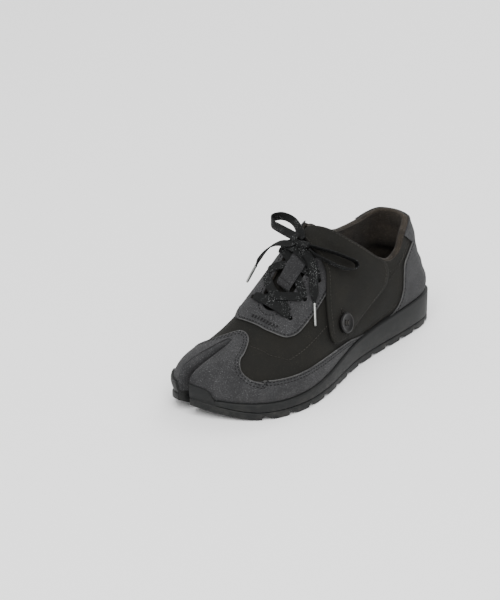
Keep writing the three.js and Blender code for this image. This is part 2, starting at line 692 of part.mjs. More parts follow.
const eyeletPlace = (row, sign) => ({
  x: THROAT_CENTRE + sign * EYELET_SPREAD / 2, y: FIRST_EYELET + row * EYELET_PITCH });

function eyelets() {
  const punches = [];
  for (let row = 0; row < EYELET_ROWS; row += 1) {
    for (const sign of [1, -1]) {
      const { x, y } = eyeletPlace(row, sign);
      const direction = overPlan(x, y, 1).sub(overPlan(x, y, 0));
      punches.push(stand(rod(EYELET_HOLE, 10, 8), overPlan(x, y, 0), direction));
    }
  }
  return wasm.Manifold.union(punches);
}

const holes = eyelets();

function makeUpper() {
  const padding = (p) => COLLAR_PAD * ease((p.z - 55) / 16) * ease((p.y - 26) / 16);
  const cavity = lastForm((p) => -WALL - padding(p), 12)
    .subtract(splitCutter(SLOT_SKIN + WALL));
  return lastForm(0).subtract(splitCutter(SLOT_SKIN)).subtract(cavity)
    .subtract(collar).subtract(throat).subtract(below).subtract(holes);
}

function makeToeOverlay() {
  const edge = curve(TOE_EDGE, fromAbove, 24);
  const toe = prism([[FAR, -FAR], [FAR, edge[0][1]], ...edge, [-FAR, edge[edge.length - 1][1]],
    [-FAR, -FAR]], 'above', 0, FAR);
  const band = (key, from, to) => {
    const line = curve(TOE_BAND[key], fromSide, 11);
    return prism([[-FAR, line[0][1]], ...line, [line[line.length - 1][0], 0], [-FAR, 0]],
      'side', from, to);
  };
  const region = toe.add(band('lateral', THROAT_CENTRE, FAR)).add(band('medial', -FAR, THROAT_CENTRE));
  const outer = lastForm(TOE_SKIN).subtract(splitCutter(0));
  const inner = lastForm(CLEARANCE, 8).subtract(splitCutter(OVERLAY));
  return outer.subtract(inner).subtract(below).intersect(region);
}

function makeEyestay() {
  const lateral = curve(EYESTAY_LATERAL, fromAbove, 20);
  const medial = curve(EYESTAY_MEDIAL, fromSide, 14);
  const [, back] = lateral[lateral.length - 1];
  const above = prism([...lateral, [THROAT_CENTRE, back]], 'above', 0, FAR);
  const side = prism([[medial[0][0], FAR], ...medial, [medial[medial.length - 1][0], FAR]],
    'side', -FAR, THROAT_CENTRE);
  return trimmed(above.add(side)).subtract(holes);
}

function makeHeelCounter() {
  const edge = curve(COUNTER_EDGE, fromSide, 14);
  return trimmed(prism([...edge, [FAR, edge[edge.length - 1][1]], [FAR, 0], [edge[0][0], 0]],
    'side', -FAR, FAR));
}

function makeHeelTab() {
  const [y, z] = fromSide(COUNTER_EDGE[COUNTER_EDGE.length - 1]);
  const corner = fromSide(TAB_CORNER);
  return trimmed(prism([[y, z + CLEARANCE], [FAR, z + CLEARANCE], [FAR, FAR], [corner[0], FAR], corner],
    'side', -FAR, FAR));
}

// Plate between two grids of points, row by row
function plate(rows, count, place) {
  const rings = [];
  for (let i = 0; i <= rows; i += 1) {
    const upper = [];
    const lower = [];
    for (let j = 0; j <= count; j += 1) {
      upper.push(place(i / rows, j / count, 1));
      lower.push(place(i / rows, j / count, 0));
    }
    rings.push([...upper, ...lower.reverse()]);
  }
  return loft(rings, true);
}

function makeTongue() {
  const centre = (TONGUE.medial + TONGUE.lateral) / 2;
  return plate(12, 6, (u, v, side) => {
    const corner = 1 - 0.35 * ease((u - 0.86) / 0.14) - 0.25 * ease((0.12 - u) / 0.12);
    const width = (TONGUE.lateral - TONGUE.medial) * corner;
    const x = centre + width * (0.5 - v);
    const y = mix(TONGUE.front, TONGUE.back, u);
    return overPlan(x, y, -TONGUE_DEPTH - (1 - side) * TONGUE_THICKNESS);
  });
}

function makeKeeper() {
  const last = KEEPER_ROWS.length - 1;
  return plate(last, 2, (u, v, side) => {
    const row = KEEPER_ROWS[Math.round(u * last)];
    const x = THROAT_CENTRE + KEEPER_SHIFT + KEEPER_WIDTH * (0.5 - v);
    return side ? overPlan(x, row.outer, row.outerLift) : overPlan(x, row.inner, row.innerLift);
  });
}

const buttonSpot = overLast(BUTTON_SPOT.row, BUTTON_SPOT.turn, 0);
const buttonNormal = lastNormal(BUTTON_SPOT.row, BUTTON_SPOT.turn);

function makeFlap() {
  const last = FLAP_ROWS.length - 1;
  const body = plate(22, 5, (u, v, side) => {
    const get = (key) => rowAt(FLAP_ROWS, u * last, key);
    const index = mix(get('front'), get('back'), v);
    const turn = mix(get('frontTurn'), get('backTurn'), v);
    return overLast(index, turn, get('lift') + side * FLAP_THICKNESS);
  });
  return body.subtract(stand(rod(BUTTONHOLE_WIDTH, 14, 12), buttonSpot, buttonNormal));
}

// Button with a raised rim on a sewn stem that passes the buttonhole
function makeButton() {
  const radius = BUTTON_WIDTH / 2;
  const under = FLAP_ROWS[FLAP_ROWS.length - 1].lift + FLAP_THICKNESS + CLEARANCE;
  const over = under + BUTTON_THICKNESS;
  const profile = [
    [0, CLEARANCE], [SHANK_WIDTH / 2, CLEARANCE], [SHANK_WIDTH / 2, under],
    [radius - BUTTON_EDGE, under], [radius, under + BUTTON_EDGE], [radius, over - BUTTON_EDGE],
    [radius - BUTTON_EDGE, over], [radius - BUTTON_RIM, over],
    [radius - BUTTON_RIM - BUTTON_EDGE, over - BUTTON_EDGE], [0, over - BUTTON_EDGE],
  ];
  const lathe = new THREE.LatheGeometry(profile.map((p) => new THREE.Vector2(...p)), 20);
  return stand(lathe, buttonSpot, buttonNormal);
}

// Flat lace along points. wideAt gives the direction of its width, and tip the length over
// which its far end narrows.
function laceAlong(points, wideAt, tip = 0) {
  const last = points.length - 1;
  const rings = points.map((point, i) => {
    const ahead = points[Math.min(i + 1, last)].clone().sub(points[Math.max(i - 1, 0)]).normalize();
    const wide = wideAt(i, ahead);
    wide.addScaledVector(ahead, -wide.dot(ahead)).normalize();
    const high = wide.clone().cross(ahead);
    const left = point.distanceTo(points[last]);
    const width = tip > 0 ? mix(TIP_WIDTH, LACE_WIDTH, ease(left / tip)) : LACE_WIDTH;
    return LACE_SECTION.map(([w, h]) => point.clone().addScaledVector(wide, w * width / 2)
      .addScaledVector(high, h * LACE_THICKNESS / 2));
  });
  return loft(rings, true);
}

// Crossings of the lace over the throat, joined where they meet
function makeLaceBars() {
  const level = TOE_SKIN + LACE_LIFT + LACE_THICKNESS / 2;
  const bars = LACE_RUNS.map((run) => {
    const line = new THREE.CatmullRomCurve3(run.map((p) => vector(p.x, p.y, p.rise)));
    const places = line.getPoints(10);
    const points = places.map((p) => overPlan(p.x, p.y, level + p.z));
    const ups = places.map((p, i) => overPlan(p.x, p.y, level + p.z + 1).sub(points[i]));
    return laceAlong(points, (i, ahead) => ahead.clone().cross(ups[i]));
  });
  return wasm.Manifold.union(bars);
}

// One piece of the bow along its route
function makeBowPiece({ wide, route, steps, tip }) {
  const line = new THREE.CatmullRomCurve3(route.map((place) => vector(...place)));
  const twist = new THREE.CatmullRomCurve3(wide.map((direction) => vector(...direction)));
  return laceAlong(line.getSpacedPoints(steps), (i) => twist.getPoint(i / steps), tip);
}

// Tip in line with the end of a route
function makeTip({ route }) {
  const [from, to] = route.slice(-2).map((place) => vector(...place));
  const direction = to.clone().sub(from).normalize();
  const middle = to.clone().addScaledVector(direction, CLEARANCE + TIP_LENGTH / 2);
  return stand(rod(TIP_WIDTH, TIP_LENGTH, 8), middle, direction);
}

function makeKnot() {
  const ball = new THREE.SphereGeometry(0.5, 12, 8);
  ball.scale(KNOT.width, KNOT.depth, KNOT.height);
  ball.rotateZ(KNOT.turn);
  ball.translate(KNOT.x, KNOT.y, KNOT.z);
  return solid(ball);
}

function named(name, body, { color, roughness }) {
  const material = new THREE.MeshStandardMaterial({ color, roughness, metalness: 0 });
  const mesh = new THREE.Mesh(geometryOf(body), material);
  mesh.name = name;
  return mesh;
}

const RUBBER = { color: 0x343737, roughness: 0.7 };
const SUEDE = { color: 0x454547, roughness: 0.95 };
const NUBUCK = { color: 0x2c2925, roughness: 0.8 };
const LINING = { color: 0x6e665c, roughness: 0.95 };
const BUTTON = { color: 0x2a2928, roughness: 0.35 };
const LACE = { color: 0x2b2f2f, roughness: 0.8 };
const TIP = { color: 0xb9bab8, roughness: 0.3 };

const shoe = new THREE.Group();
shoe.name = 'tabi_sneaker_left';
shoe.add(
  named('outsole', makeOutsole(), RUBBER),
  named('midsole', makeMidsole(), RUBBER),
  named('insole', makeInsole(), LINING),
  named('upper', makeUpper(), NUBUCK),
  named('toe_overlay', makeToeOverlay(), SUEDE),
  named('eyestay', makeEyestay(), SUEDE),
  named('heel_counter', makeHeelCounter(), SUEDE),
  named('heel_tab', makeHeelTab(), SUEDE),
  named('tongue', makeTongue(), NUBUCK),
  named('tongue_loop', makeKeeper(), SUEDE),
  named('flap', makeFlap(), NUBUCK),
  named('flap_button', makeButton(), BUTTON),
  named('lace_bars', makeLaceBars(), LACE),
  named('lace_knot', makeKnot(), LACE),
  named('lace_loop_lateral', makeBowPiece(BOW.loopLateral), LACE),
  named('lace_loop_medial', makeBowPiece(BOW.loopMedial), LACE),
  named('lace_end_front', makeBowPiece(BOW.endFront), LACE),
  named('lace_end_medial', makeBowPiece(BOW.endMedial), LACE),
  named('lace_tip_front', makeTip(BOW.endFront), TIP),
  named('lace_tip_medial', makeTip(BOW.endMedial), TIP),
);

export default shoe;
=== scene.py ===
"""Left split-toe sneaker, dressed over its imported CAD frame.

Sizes in this file are millimetres in the row frame (+Z up, toes to -Y, +X lateral) unless a name
ends in _m. Meshes are turned into metres when they are made.
"""

import logging
import math
from dataclasses import dataclass, field
from enum import Enum
from typing import Callable, Sequence

import bmesh
import bpy
import numpy as np
from mathutils import Matrix, Vector
from mathutils.bvhtree import BVHTree


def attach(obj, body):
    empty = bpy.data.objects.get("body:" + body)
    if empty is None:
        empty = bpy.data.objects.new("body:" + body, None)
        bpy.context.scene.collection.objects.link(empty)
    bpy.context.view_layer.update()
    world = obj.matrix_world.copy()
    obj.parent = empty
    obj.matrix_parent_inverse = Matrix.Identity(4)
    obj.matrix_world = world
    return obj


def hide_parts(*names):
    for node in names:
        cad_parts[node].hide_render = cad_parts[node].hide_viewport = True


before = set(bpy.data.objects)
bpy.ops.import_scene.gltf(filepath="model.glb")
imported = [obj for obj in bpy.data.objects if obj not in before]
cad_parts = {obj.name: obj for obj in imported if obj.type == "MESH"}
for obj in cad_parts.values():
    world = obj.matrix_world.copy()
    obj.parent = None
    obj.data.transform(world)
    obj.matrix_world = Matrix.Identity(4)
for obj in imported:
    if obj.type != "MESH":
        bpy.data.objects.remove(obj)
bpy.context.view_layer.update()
log = logging.getLogger("sneaker")

MM = 0.001
LENGTH = 275.0
BALL_WIDTH = 102.0
COLLAR_HEIGHT = 99.0
SOLE_HEIGHT = 31.0
CLEARANCE = 0.3
HALF = BALL_WIDTH / 2
FAR = LENGTH

LUG_HEIGHT = 3.6
LUG_PITCH = 20.3
LUG_FLAT = 9.5
LUG_COUNT = 12
FIRST_LUG = -110.0
PLATE_TOP = LUG_HEIGHT + 3.1
TOE_SPRING = 10.0
SPRING_LENGTH = 32.0
EDGE_ROUND = 1.2
BUMPER_WALL = 1.6
INSOLE_THICKNESS = 3.2
INSOLE_PLAY = 1.2

WALL = 2.2
COLLAR_PAD = 3.8
OVERLAY = 1.2
TOE_SKIN = OVERLAY + CLEARANCE
SLOT_SKIN = OVERLAY + 2 * CLEARANCE
LEDGE = 2.0
TUCK = 2.0
TUCK_HEIGHT = 9.0
THROAT_WIDTH = 23.2
THROAT_CENTRE = -5.2
THROAT_FRONT = -52.5

SPLIT_LENGTH = 52.0
SPLIT_WIDTH = 5.0
SPLIT_MOUTH = 6.0
SPLIT_ROLL = 6.0
SOLE_SPLIT_LENGTH = 26.0
SOLE_SPLIT_WIDTH = 4.5

EYELET_PITCH = 18.1
EYELET_SPREAD = 39.8
FIRST_EYELET = -46.0
EYELET_HOLE = 4.4
LACE_WIDTH = 7.5
LACE_THICKNESS = 1.2
TIP_WIDTH = 2.4
TIP_LENGTH = 19.0

# The last, one row a section from the toe tip to the heel: shares of the main sizes
SECTION_COLUMNS = ("at", "lateral", "medial", "foot", "ridge", "top", "out", "inn")
SECTIONS = np.array([
    (0.000, -0.45, -0.45, 0.60, -0.45, 0.30, 2.3, 2.3),
    (0.004, -0.24, -0.61, 0.59, -0.44, 0.34, 2.3, 2.3),
    (0.018, -0.02, -0.74, 0.57, -0.44, 0.37, 2.3, 2.3),
    (0.044, 0.22, -0.85, 0.53, -0.43, 0.40, 2.3, 2.4),
    (0.084, 0.52, -0.94, 0.49, -0.42, 0.43, 2.2, 2.5),
    (0.140, 0.79, -0.99, 0.47, -0.38, 0.46, 2.2, 2.5),
    (0.205, 0.94, -1.00, 0.47, -0.30, 0.50, 2.1, 2.5),
    (0.282, 1.00, -0.96, 0.50, -0.27, 0.605, 1.9, 2.5),
    (0.373, 0.95, -0.85, 0.57, -0.28, 0.825, 1.65, 2.6),
    (0.464, 0.83, -0.72, 0.67, -0.28, 1.06, 1.6, 2.5),
    (0.555, 0.72, -0.65, 0.76, -0.24, 1.26, 1.65, 2.3),
    (0.664, 0.67, -0.67, 0.84, -0.13, 1.36, 1.85, 2.1),
    (0.791, 0.66, -0.74, 0.92, -0.06, 1.33, 2.0, 2.0),
    (0.893, 0.63, -0.73, 0.97, -0.06, 1.29, 1.8, 2.0),
    (0.951, 0.55, -0.66, 0.99, -0.06, 1.28, 1.8, 2.0),
    (0.985, 0.38, -0.49, 1.00, -0.06, 1.28, 1.9, 2.0),
    (1.000, -0.06, -0.06, 1.00, -0.06, 1.28, 2.0, 2.0),
])
LAST_ROW = len(SECTIONS) - 1

# Heel from the side: height and lean. Collar line: at, lateral height, medial height
HEEL_BACK = np.array([(0.30, -0.004), (0.42, -0.008), (0.58, -0.030), (0.72, -0.050),
                      (0.80, -0.055), (0.86, -0.053), (1.00, -0.063), (1.40, -0.083)])
LEAN_STARTS_AT = 0.80
COLLAR_LINE = np.array([
    (0.538, 1.190, 1.215), (0.575, 1.130, 1.160), (0.618, 1.050, 1.078), (0.660, 0.950, 1.015),
    (0.710, 0.840, 0.965), (0.755, 0.788, 0.948), (0.805, 0.828, 0.946), (0.842, 0.920, 0.955),
    (0.880, 0.975, 0.985), (0.930, 1.020, 1.020), (1.050, 1.030, 1.030)])

# Panel edges: (at, across) from above, (at, height) from the side
TOE_EDGE = [(0.141, 0.652), (0.114, 0.470), (0.109, 0.287), (0.134, 0.145), (0.167, 0.091),
            (0.210, -0.023), (0.228, -0.144), (0.228, -0.302), (0.199, -0.467), (0.156, -0.665),
            (0.150, -0.790), (0.180, -0.900)]
TOE_BAND_LATERAL = [(0.141, 0.319), (0.181, 0.309), (0.248, 0.308), (0.336, 0.322),
                    (0.418, 0.324), (0.512, 0.305), (0.572, 0.268), (0.606, 0.250)]
TOE_BAND_MEDIAL = [(0.180, 0.335), (0.220, 0.300), (0.336, 0.290), (0.427, 0.290),
                   (0.518, 0.280), (0.590, 0.245)]
EYESTAY_LATERAL = [(0.267, -0.102), (0.268, 0.106), (0.281, 0.360), (0.298, 0.458),
                   (0.330, 0.506), (0.400, 0.480), (0.462, 0.435), (0.530, 0.370), (0.580, 0.320)]
EYESTAY_MEDIAL = [(0.267, 0.565), (0.298, 0.580), (0.330, 0.570), (0.362, 0.588), (0.409, 0.648),
                  (0.464, 0.737), (0.518, 0.848), (0.565, 0.960), (0.609, 1.050)]
COUNTER_EDGE = [(0.745, 0.240), (0.763, 0.300), (0.788, 0.375), (0.805, 0.472), (0.812, 0.600),
                (0.821, 0.700), (0.850, 0.770), (0.886, 0.826)]
TAB_CORNER = (0.833, 0.957)
BUMPER_LATERAL = [(-0.60, 0.98), (-0.20, 0.94), (0.03, 0.82), (0.10, 0.55), (0.17, 0.36),
                  (0.30, 0.10)]
BUMPER_MEDIAL = [(-0.020, 0.90), (0.056, 0.87), (0.092, 0.55), (0.114, 0.32), (0.140, 0.10)]

# Flap from its root to its tip: front row, front turn, back row, back turn, lift
FLAP_ROWS = np.array([
    (9.42, 0.550, 9.72, 0.550, -4.6), (9.40, 0.515, 9.72, 0.510, -4.2),
    (9.40, 0.475, 9.76, 0.465, -0.6), (9.38, 0.435, 9.90, 0.420, 2.0),
    (9.35, 0.395, 10.12, 0.370, 2.5), (9.38, 0.344, 10.45, 0.302, 2.7),
    (9.33, 0.293, 11.00, 0.220, 2.7), (9.12, 0.264, 11.42, 0.170, 2.6),
    (8.86, 0.232, 11.48, 0.132, 2.3), (8.66, 0.199, 11.31, 0.102, 2.0),
    (8.52, 0.165, 10.83, 0.088, 2.0), (8.47, 0.135, 10.07, 0.077, 2.0),
    (8.52, 0.112, 9.52, 0.075, 2.0), (8.68, 0.096, 9.08, 0.082, 2.0)])
BUTTON_SPOT = (9.27, 0.126)

# Keeper loop: outer place, outer lift, inner place, inner lift
KEEPER_ROWS = np.array([
    (-33.6, -4.5, -32.6, -4.5), (-33.6, 1.0, -32.6, 1.0), (-32.8, 3.5, -32.0, 2.7),
    (-31.0, 4.5, -31.0, 3.5), (-25.5, 4.6, -25.5, 3.6), (-20.0, 4.7, -20.0, 3.7),
    (-14.0, 4.6, -14.0, 3.6), (-8.4, 4.4, -8.4, 3.4), (-6.0, 3.5, -6.8, 2.7),
    (-5.2, 1.0, -6.2, 1.0), (-5.2, -4.5, -6.2, -4.5)])

# Lace runs over the throat: x, y and how much higher than the eyestay they pass
LACE_RUNS = [
    [(-25.1, -46, 0.2), (-17, -46.3, 1.0), (-5.2, -46.8, 1.4), (6, -46.4, 1.5), (14.7, -46, 0.2)],
    [(-14, -47, 0), (1, -38.5, 0.5), (14.7, -27.9, 0.2)],
    [(10, -44, 0), (-1, -40.8, -0.6), (-12, -38, 0), (-25.1, -28, 0.4)],
    [(-25.1, -27.9, 0.4), (-5.2, -18.8, 0), (14.7, -9.8, 0.2)],
    [(14.7, -27.9, 0.2), (-5.2, -18.8, -1.1), (-25.1, -9.8, 0.5)],
    [(-25.1, -9.8, 0.5), (-12, -9.9, 3.2), (-4, -9.9, 3.5), (4, -9.9, 3.2), (14.7, -9.8, 0.2)],
]


def mix(a, b, t):
    """Value between a and b at the share t."""
    return a + (b - a) * t


def ease(t):
    """Smooth step of t, which is held between 0 and 1."""
    t = np.clip(t, 0, 1)
    return t * t * (3 - 2 * t)


def along(share):
    """Place along the shoe for a share of its length."""
    return (share - 0.5) * LENGTH


def unit(v: np.ndarray) -> np.ndarray:
    """Vectors of length one."""
    return v / np.maximum(np.linalg.norm(v, axis=-1, keepdims=True), 1e-12)


def spline(rows: Sequence, steps: int) -> np.ndarray:
    """Smooth curve through rows of numbers.

    Args:
        rows: Points of any number of coordinates.
        steps: How many equal steps the curve is cut into.

    Returns:
        steps + 1 points.
    """
    p = np.asarray(rows, float)
    p = np.vstack([p[:1], p, p[-1:]])
    t = np.linspace(0, len(rows) - 1, steps + 1)
    i = np.minimum(t.astype(int), len(rows) - 2)
    w = (t - i)[:, None]
    a, b, c, d = p[i], p[i + 1], p[i + 2], p[i + 3]
    return b + 0.5 * w * (c - a + w * (2 * a - 5 * b + 4 * c - d + w * (3 * (b - c) + d - a)))


def resample(points: np.ndarray, step: float) -> np.ndarray:
    """Points of a line at equal steps along it.

    Args:
        points: The line's points.
        step: Wanted distance between two points.

    Returns:
        The new points, both ends among them.
    """
    gaps = np.linalg.norm(np.diff(points, axis=0), axis=1)
    way = np.concatenate([[0], np.cumsum(gaps)])
    count = max(int(round(way[-1] / step)), 1)
    at = np.linspace(0, way[-1], count + 1)
    return np.stack([np.interp(at, way, points[:, k]) for k in range(points.shape[1])], axis=1)


def directions(points: np.ndarray) -> np.ndarray:
    """Unit direction of a line at each of its points."""
    return unit(np.gradient(points, axis=0))


class View(Enum):
    """The side from which a flat outline is given."""

    ABOVE = "above"
    SIDE = "side"
    FRONT = "front"

    def place(self, u: float, v: float, w: float) -> tuple[float, float, float]:
        """Point in the row frame for an outline's point and a depth."""
        if self is View.ABOVE:
            return (u, v, w)
        if self is View.SIDE:
            return (w, u, v)
        return (u, -w, v)


class Side(Enum):
    """Side of the shoe, with its sign along X."""

    LATERAL = 1
    MEDIAL = -1


class Solid:
    """Closed mesh object that can be cut by others."""

    scratch: list = []

    def __init__(self, name: str, points: Sequence, faces: Sequence) -> None:
        """Makes the object from points in millimetres and its faces."""
        mesh = bpy.data.meshes.new(name)
        mesh.from_pydata((np.asarray(points, float) * MM).tolist(), [], [list(f) for f in faces])
        shape = bmesh.new()
        shape.from_mesh(mesh)
        bmesh.ops.remove_doubles(shape, verts=shape.verts, dist=3e-7)
        bmesh.ops.recalc_face_normals(shape, faces=shape.faces)
        shape.to_mesh(mesh)
        shape.free()
        self.object = bpy.data.objects.new(name, mesh)
        bpy.context.scene.collection.objects.link(self.object)
        Solid.scratch.append(self.object)

    @classmethod
    def loft(cls, name: str, rings: np.ndarray, capped: bool) -> "Solid":
        """Solid from a row of rings of as many points each.

        Args:
            name: Name of the object.
            rings: Array of rings, points and coordinates.
            capped: Whether both ends get a face.

        Returns:
            The solid.
        """
        rings = np.asarray(rings, float)
        n, m = rings.shape[:2]
        faces = [(i * m + j, i * m + (j + 1) % m, (i + 1) * m + (j + 1) % m, (i + 1) * m + j)
                 for i in range(n - 1) for j in range(m)]
        if capped:
            faces += [tuple(range(m)), tuple((n - 1) * m + j for j in range(m))]
        return cls(name, rings.reshape(-1, 3), faces)

    @classmethod
    def prism(cls, name: str, outline: Sequence, view: View, low: float, high: float) -> "Solid":
        """Solid over a flat outline.

        Args:
            name: Name of the object.
            outline: Points of the outline, two numbers each.
            view: Side from which the outline is given.
            low: Depth where the solid starts.
            high: Depth where it ends.

        Returns:
            The solid.
        """
        n = len(outline)
        points = [view.place(u, v, w) for w in (low, high) for u, v in outline]
        faces = [tuple(range(n)), tuple(range(2 * n - 1, n - 1, -1))]
        faces += [(i, (i + 1) % n, n + (i + 1) % n, n + i) for i in range(n)]
        return cls(name, points, faces)

    def _apply(self, other: "Solid", operation: str) -> "Solid":
        """Applies one Boolean step and returns this solid."""
        step = self.object.modifiers.new(operation, "BOOLEAN")
        step.operation = operation
        step.solver = "MANIFOLD"
        step.object = other.object
        graph = bpy.context.evaluated_depsgraph_get()
        mesh = bpy.data.meshes.new_from_object(self.object.evaluated_get(graph))
        self.object.modifiers.clear()
        self.object.data = mesh
        return self

    def cut(self, *others: "Solid") -> "Solid":
        """Takes others away from this solid."""
        for other in others:
            self._apply(other, "DIFFERENCE")
        return self

    def keep(self, other: "Solid") -> "Solid":
        """Keeps only what lies inside the other solid."""
        return self._apply(other, "INTERSECT")

    def join(self, other: "Solid") -> "Solid":
        """Joins another solid to this one."""
        return self._apply(other, "UNION")

    def take(self) -> bpy.types.Object:
        """Keeps the object as a piece and returns it."""
        Solid.scratch.remove(self.object)
        return self.object

    @classmethod
    def clear(cls) -> None:
        """Removes all solids that were only tools."""
        for tool in cls.scratch:
            bpy.data.objects.remove(tool, do_unlink=True)
        cls.scratch.clear()


@dataclass(frozen=True)
class Crease:
    """Soft trough or ridge pressed into the leather along a line."""

    line: tuple
    depth: float
    width: float

    def relief(self, points: np.ndarray) -> np.ndarray:
        """Height that the crease adds at each point."""
        line = resample(spline(self.line, 12), 2.0)
        flat = points.reshape(-1, 3)
        gap = np.full(len(flat), 1e9)
        share = np.zeros(len(flat))
        for k, place in enumerate(line):
            far = np.linalg.norm(flat - place, axis=1)
            nearer = far < gap
            gap[nearer] = far[nearer]
            share[nearer] = k / max(len(line) - 1, 1)
        fade = np.sin(np.pi * np.clip(share, 0.02, 0.98)) ** 0.7
        return (-self.depth * np.exp(-(gap / self.width) ** 2) * fade).reshape(points.shape[:-1])


@dataclass
class Last:
    """Form under the leather: sections from the toe tip to the heel."""

    ring: int = 72
    steps: int = 8
    creases: tuple = (
        Crease(((34, -72, 40), (26, -66, 47), (16, -62, 51)), 0.7, 4.0),
        Crease(((38, -58, 37), (33, -52, 46), (27, -49, 50)), 0.6, 4.5),
        Crease(((38, -30, 38), (37, -18, 45), (36, -4, 47)), 0.6, 5.0),
        Crease(((36, 8, 36), (35, 24, 44), (31, 40, 50)), 0.7, 5.5),
        Crease(((34, 40, 36), (33, 52, 42), (31, 62, 52)), -0.5, 6.0),
        Crease(((-48, -60, 34), (-42, -56, 46), (-30, -55, 52)), 0.6, 4.5),
        Crease(((-36, 20, 40), (-35, 36, 54), (-33, 48, 66)), 0.8, 6.0),
    )

    def column(self, key: str, index: np.ndarray) -> np.ndarray:
        """One column of the sections at row numbers that may lie between rows."""
        values = SECTIONS[:, SECTION_COLUMNS.index(key)]
        other = {"lateral": "medial", "medial": "lateral"}.get(key, key)
        mirror = SECTIONS[:, SECTION_COLUMNS.index(other)]
        p = np.concatenate([mirror[1:2], values, mirror[-2:-1]])
        i = np.clip(np.floor(index).astype(int), 0, LAST_ROW - 1)
        t = index - i
        a, b, c, d = p[i], p[i + 1], p[i + 2], p[i + 3]
        return b + 0.5 * t * (c - a + t * (2 * a - 5 * b + 4 * c - d + t * (3 * (b - c) + d - a)))

    def edge(self, index: np.ndarray, side: Side, inset) -> tuple[np.ndarray, np.ndarray]:
        """Sole outline on one side, moved inwards.

        Args:
            index: Row numbers.
            side: Side of the shoe.
            inset: Distance inwards.

        Returns:
            x and y of the points.
        """
        key, sign = side.name.lower(), side.value
        before, after = np.maximum(index - 0.02, 0), np.minimum(index + 0.02, LAST_ROW)
        dy = along(self.column("at", after)) - along(self.column("at", before))
        dx = (self.column(key, before) - self.column(key, after)) * HALF
        size = np.hypot(dx, dy)
        nx, ny = dy / size, dx / size
        nx = np.where((index <= 0) | (index >= LAST_ROW), 0, nx)
        ny = np.where(index <= 0, -sign, np.where(index >= LAST_ROW, sign, ny))
        x = self.column(key, index) * HALF - sign * nx * inset
        return x, along(self.column("at", index)) - sign * ny * inset

    def lean(self, y: np.ndarray, z: np.ndarray) -> np.ndarray:
        """How far the heel's back leans forward at a height."""
        height = z / COLLAR_HEIGHT
        i = np.clip(np.searchsorted(HEEL_BACK[:, 0], height, side="left") - 1, 0,
                    len(HEEL_BACK) - 2)
        low, high = HEEL_BACK[i], HEEL_BACK[i + 1]
        t = ease((height - low[..., 0]) / (high[..., 0] - low[..., 0]))
        start = ease((y / LENGTH + 0.5 - LEAN_STARTS_AT) / (1 - LEAN_STARTS_AT))
        return mix(low[..., 1], high[..., 1], t) * LENGTH * start

    def point(self, index, turn) -> np.ndarray:
        """Points of the last, turn going from 0 at the lateral foot to 1 at the medial foot."""
        index, turn = np.broadcast_arrays(np.asarray(index, float), np.asarray(turn, float))
        angle = turn * math.pi
        power = np.where(turn < 0.5, self.column("out", index), self.column("inn", index))
        up = np.maximum(np.sin(angle), 0) ** (2 / power)
        out = np.abs(np.cos(angle)) ** (2 / power)
        foot = self.column("foot", index) * SOLE_HEIGHT
        z = mix(foot, self.column("top", index) * COLLAR_HEIGHT, up)
        inset = LEDGE + TUCK * np.clip(1 - (z - foot) / TUCK_HEIGHT, 0, 1) ** 2
        lx, ly = self.edge(index, Side.LATERAL, inset)
        mx, my = self.edge(index, Side.MEDIAL, inset)
        sx, sy = np.where(turn < 0.5, lx, mx), np.where(turn < 0.5, ly, my)
        y = mix((ly + my) / 2, sy, out)
        x = mix(self.column("ridge", index) * HALF, sx, out)
        return np.stack([x, y + self.lean(y, z), z], axis=-1)

    def normal(self, index, turn) -> np.ndarray:
        """Directions out of the last."""
        index, turn = np.broadcast_arrays(np.asarray(index, float), np.asarray(turn, float))
        step = 0.004
        end = (index <= 0) | (index >= LAST_ROW)
        inner = np.clip(index, 3 * step, LAST_ROW - 3 * step)
        inner = np.where(end, inner, index)

        def plain(at: np.ndarray, round_: np.ndarray) -> np.ndarray:
            """Direction at places that aren't on an end."""
            i0, i1 = np.maximum(at - step, step / 2), np.minimum(at + step, LAST_ROW - step / 2)
            t0, t1 = np.maximum(round_ - step, 0), np.minimum(round_ + step, 1)
            across = self.point(at, t1) - self.point(at, t0)
            return unit(np.cross(self.point(i1, round_) - self.point(i0, round_), across))

        one = plain(inner, turn)
        both = one + plain(inner, 1 - turn)
        both[..., 0] = 0
        return np.where(end[..., None], unit(both), one)

    def over(self, index, turn, offset=0.0) -> np.ndarray:
        """Points at a distance over the last, with its creases."""
        p = self.point(index, turn)
        relief = sum(crease.relief(p) for crease in self.creases)
        return p + self.normal(index, turn) * np.asarray(offset + relief)[..., None]

    @property
    def stations(self) -> np.ndarray:
        """Row numbers of a form's rings."""
        return np.linspace(0, LAST_ROW, LAST_ROW * self.steps + 1)

    def row_of(self, y) -> np.ndarray:
        """Row number of the section at a place along the shoe."""
        rows = np.linspace(0, LAST_ROW, 1601)
        return np.interp(y, along(self.column("at", rows)), rows)

    def turn_of(self, index, x) -> np.ndarray:
        """Turn of the point at a width on a section."""
        ridge = self.column("ridge", index) * HALF
        lateral = x > ridge
        edge = np.where(lateral, self.column("lateral", index) * HALF - LEDGE,
                        self.column("medial", index) * HALF + LEDGE)
        power = np.where(lateral, self.column("out", index), self.column("inn", index))
        out = np.clip((x - ridge) / (edge - ridge), 0, 1)
        turn = np.arccos(out ** (power / 2)) / math.pi
        return np.where(lateral, turn, 1 - turn)

    def over_plan(self, x, y, offset=0.0) -> np.ndarray:
        """Points over the last, given from above."""
        x, y = np.broadcast_arrays(np.asarray(x, float), np.asarray(y, float))
        index = self.row_of(y)
        return self.over(index, self.turn_of(index, x), offset)

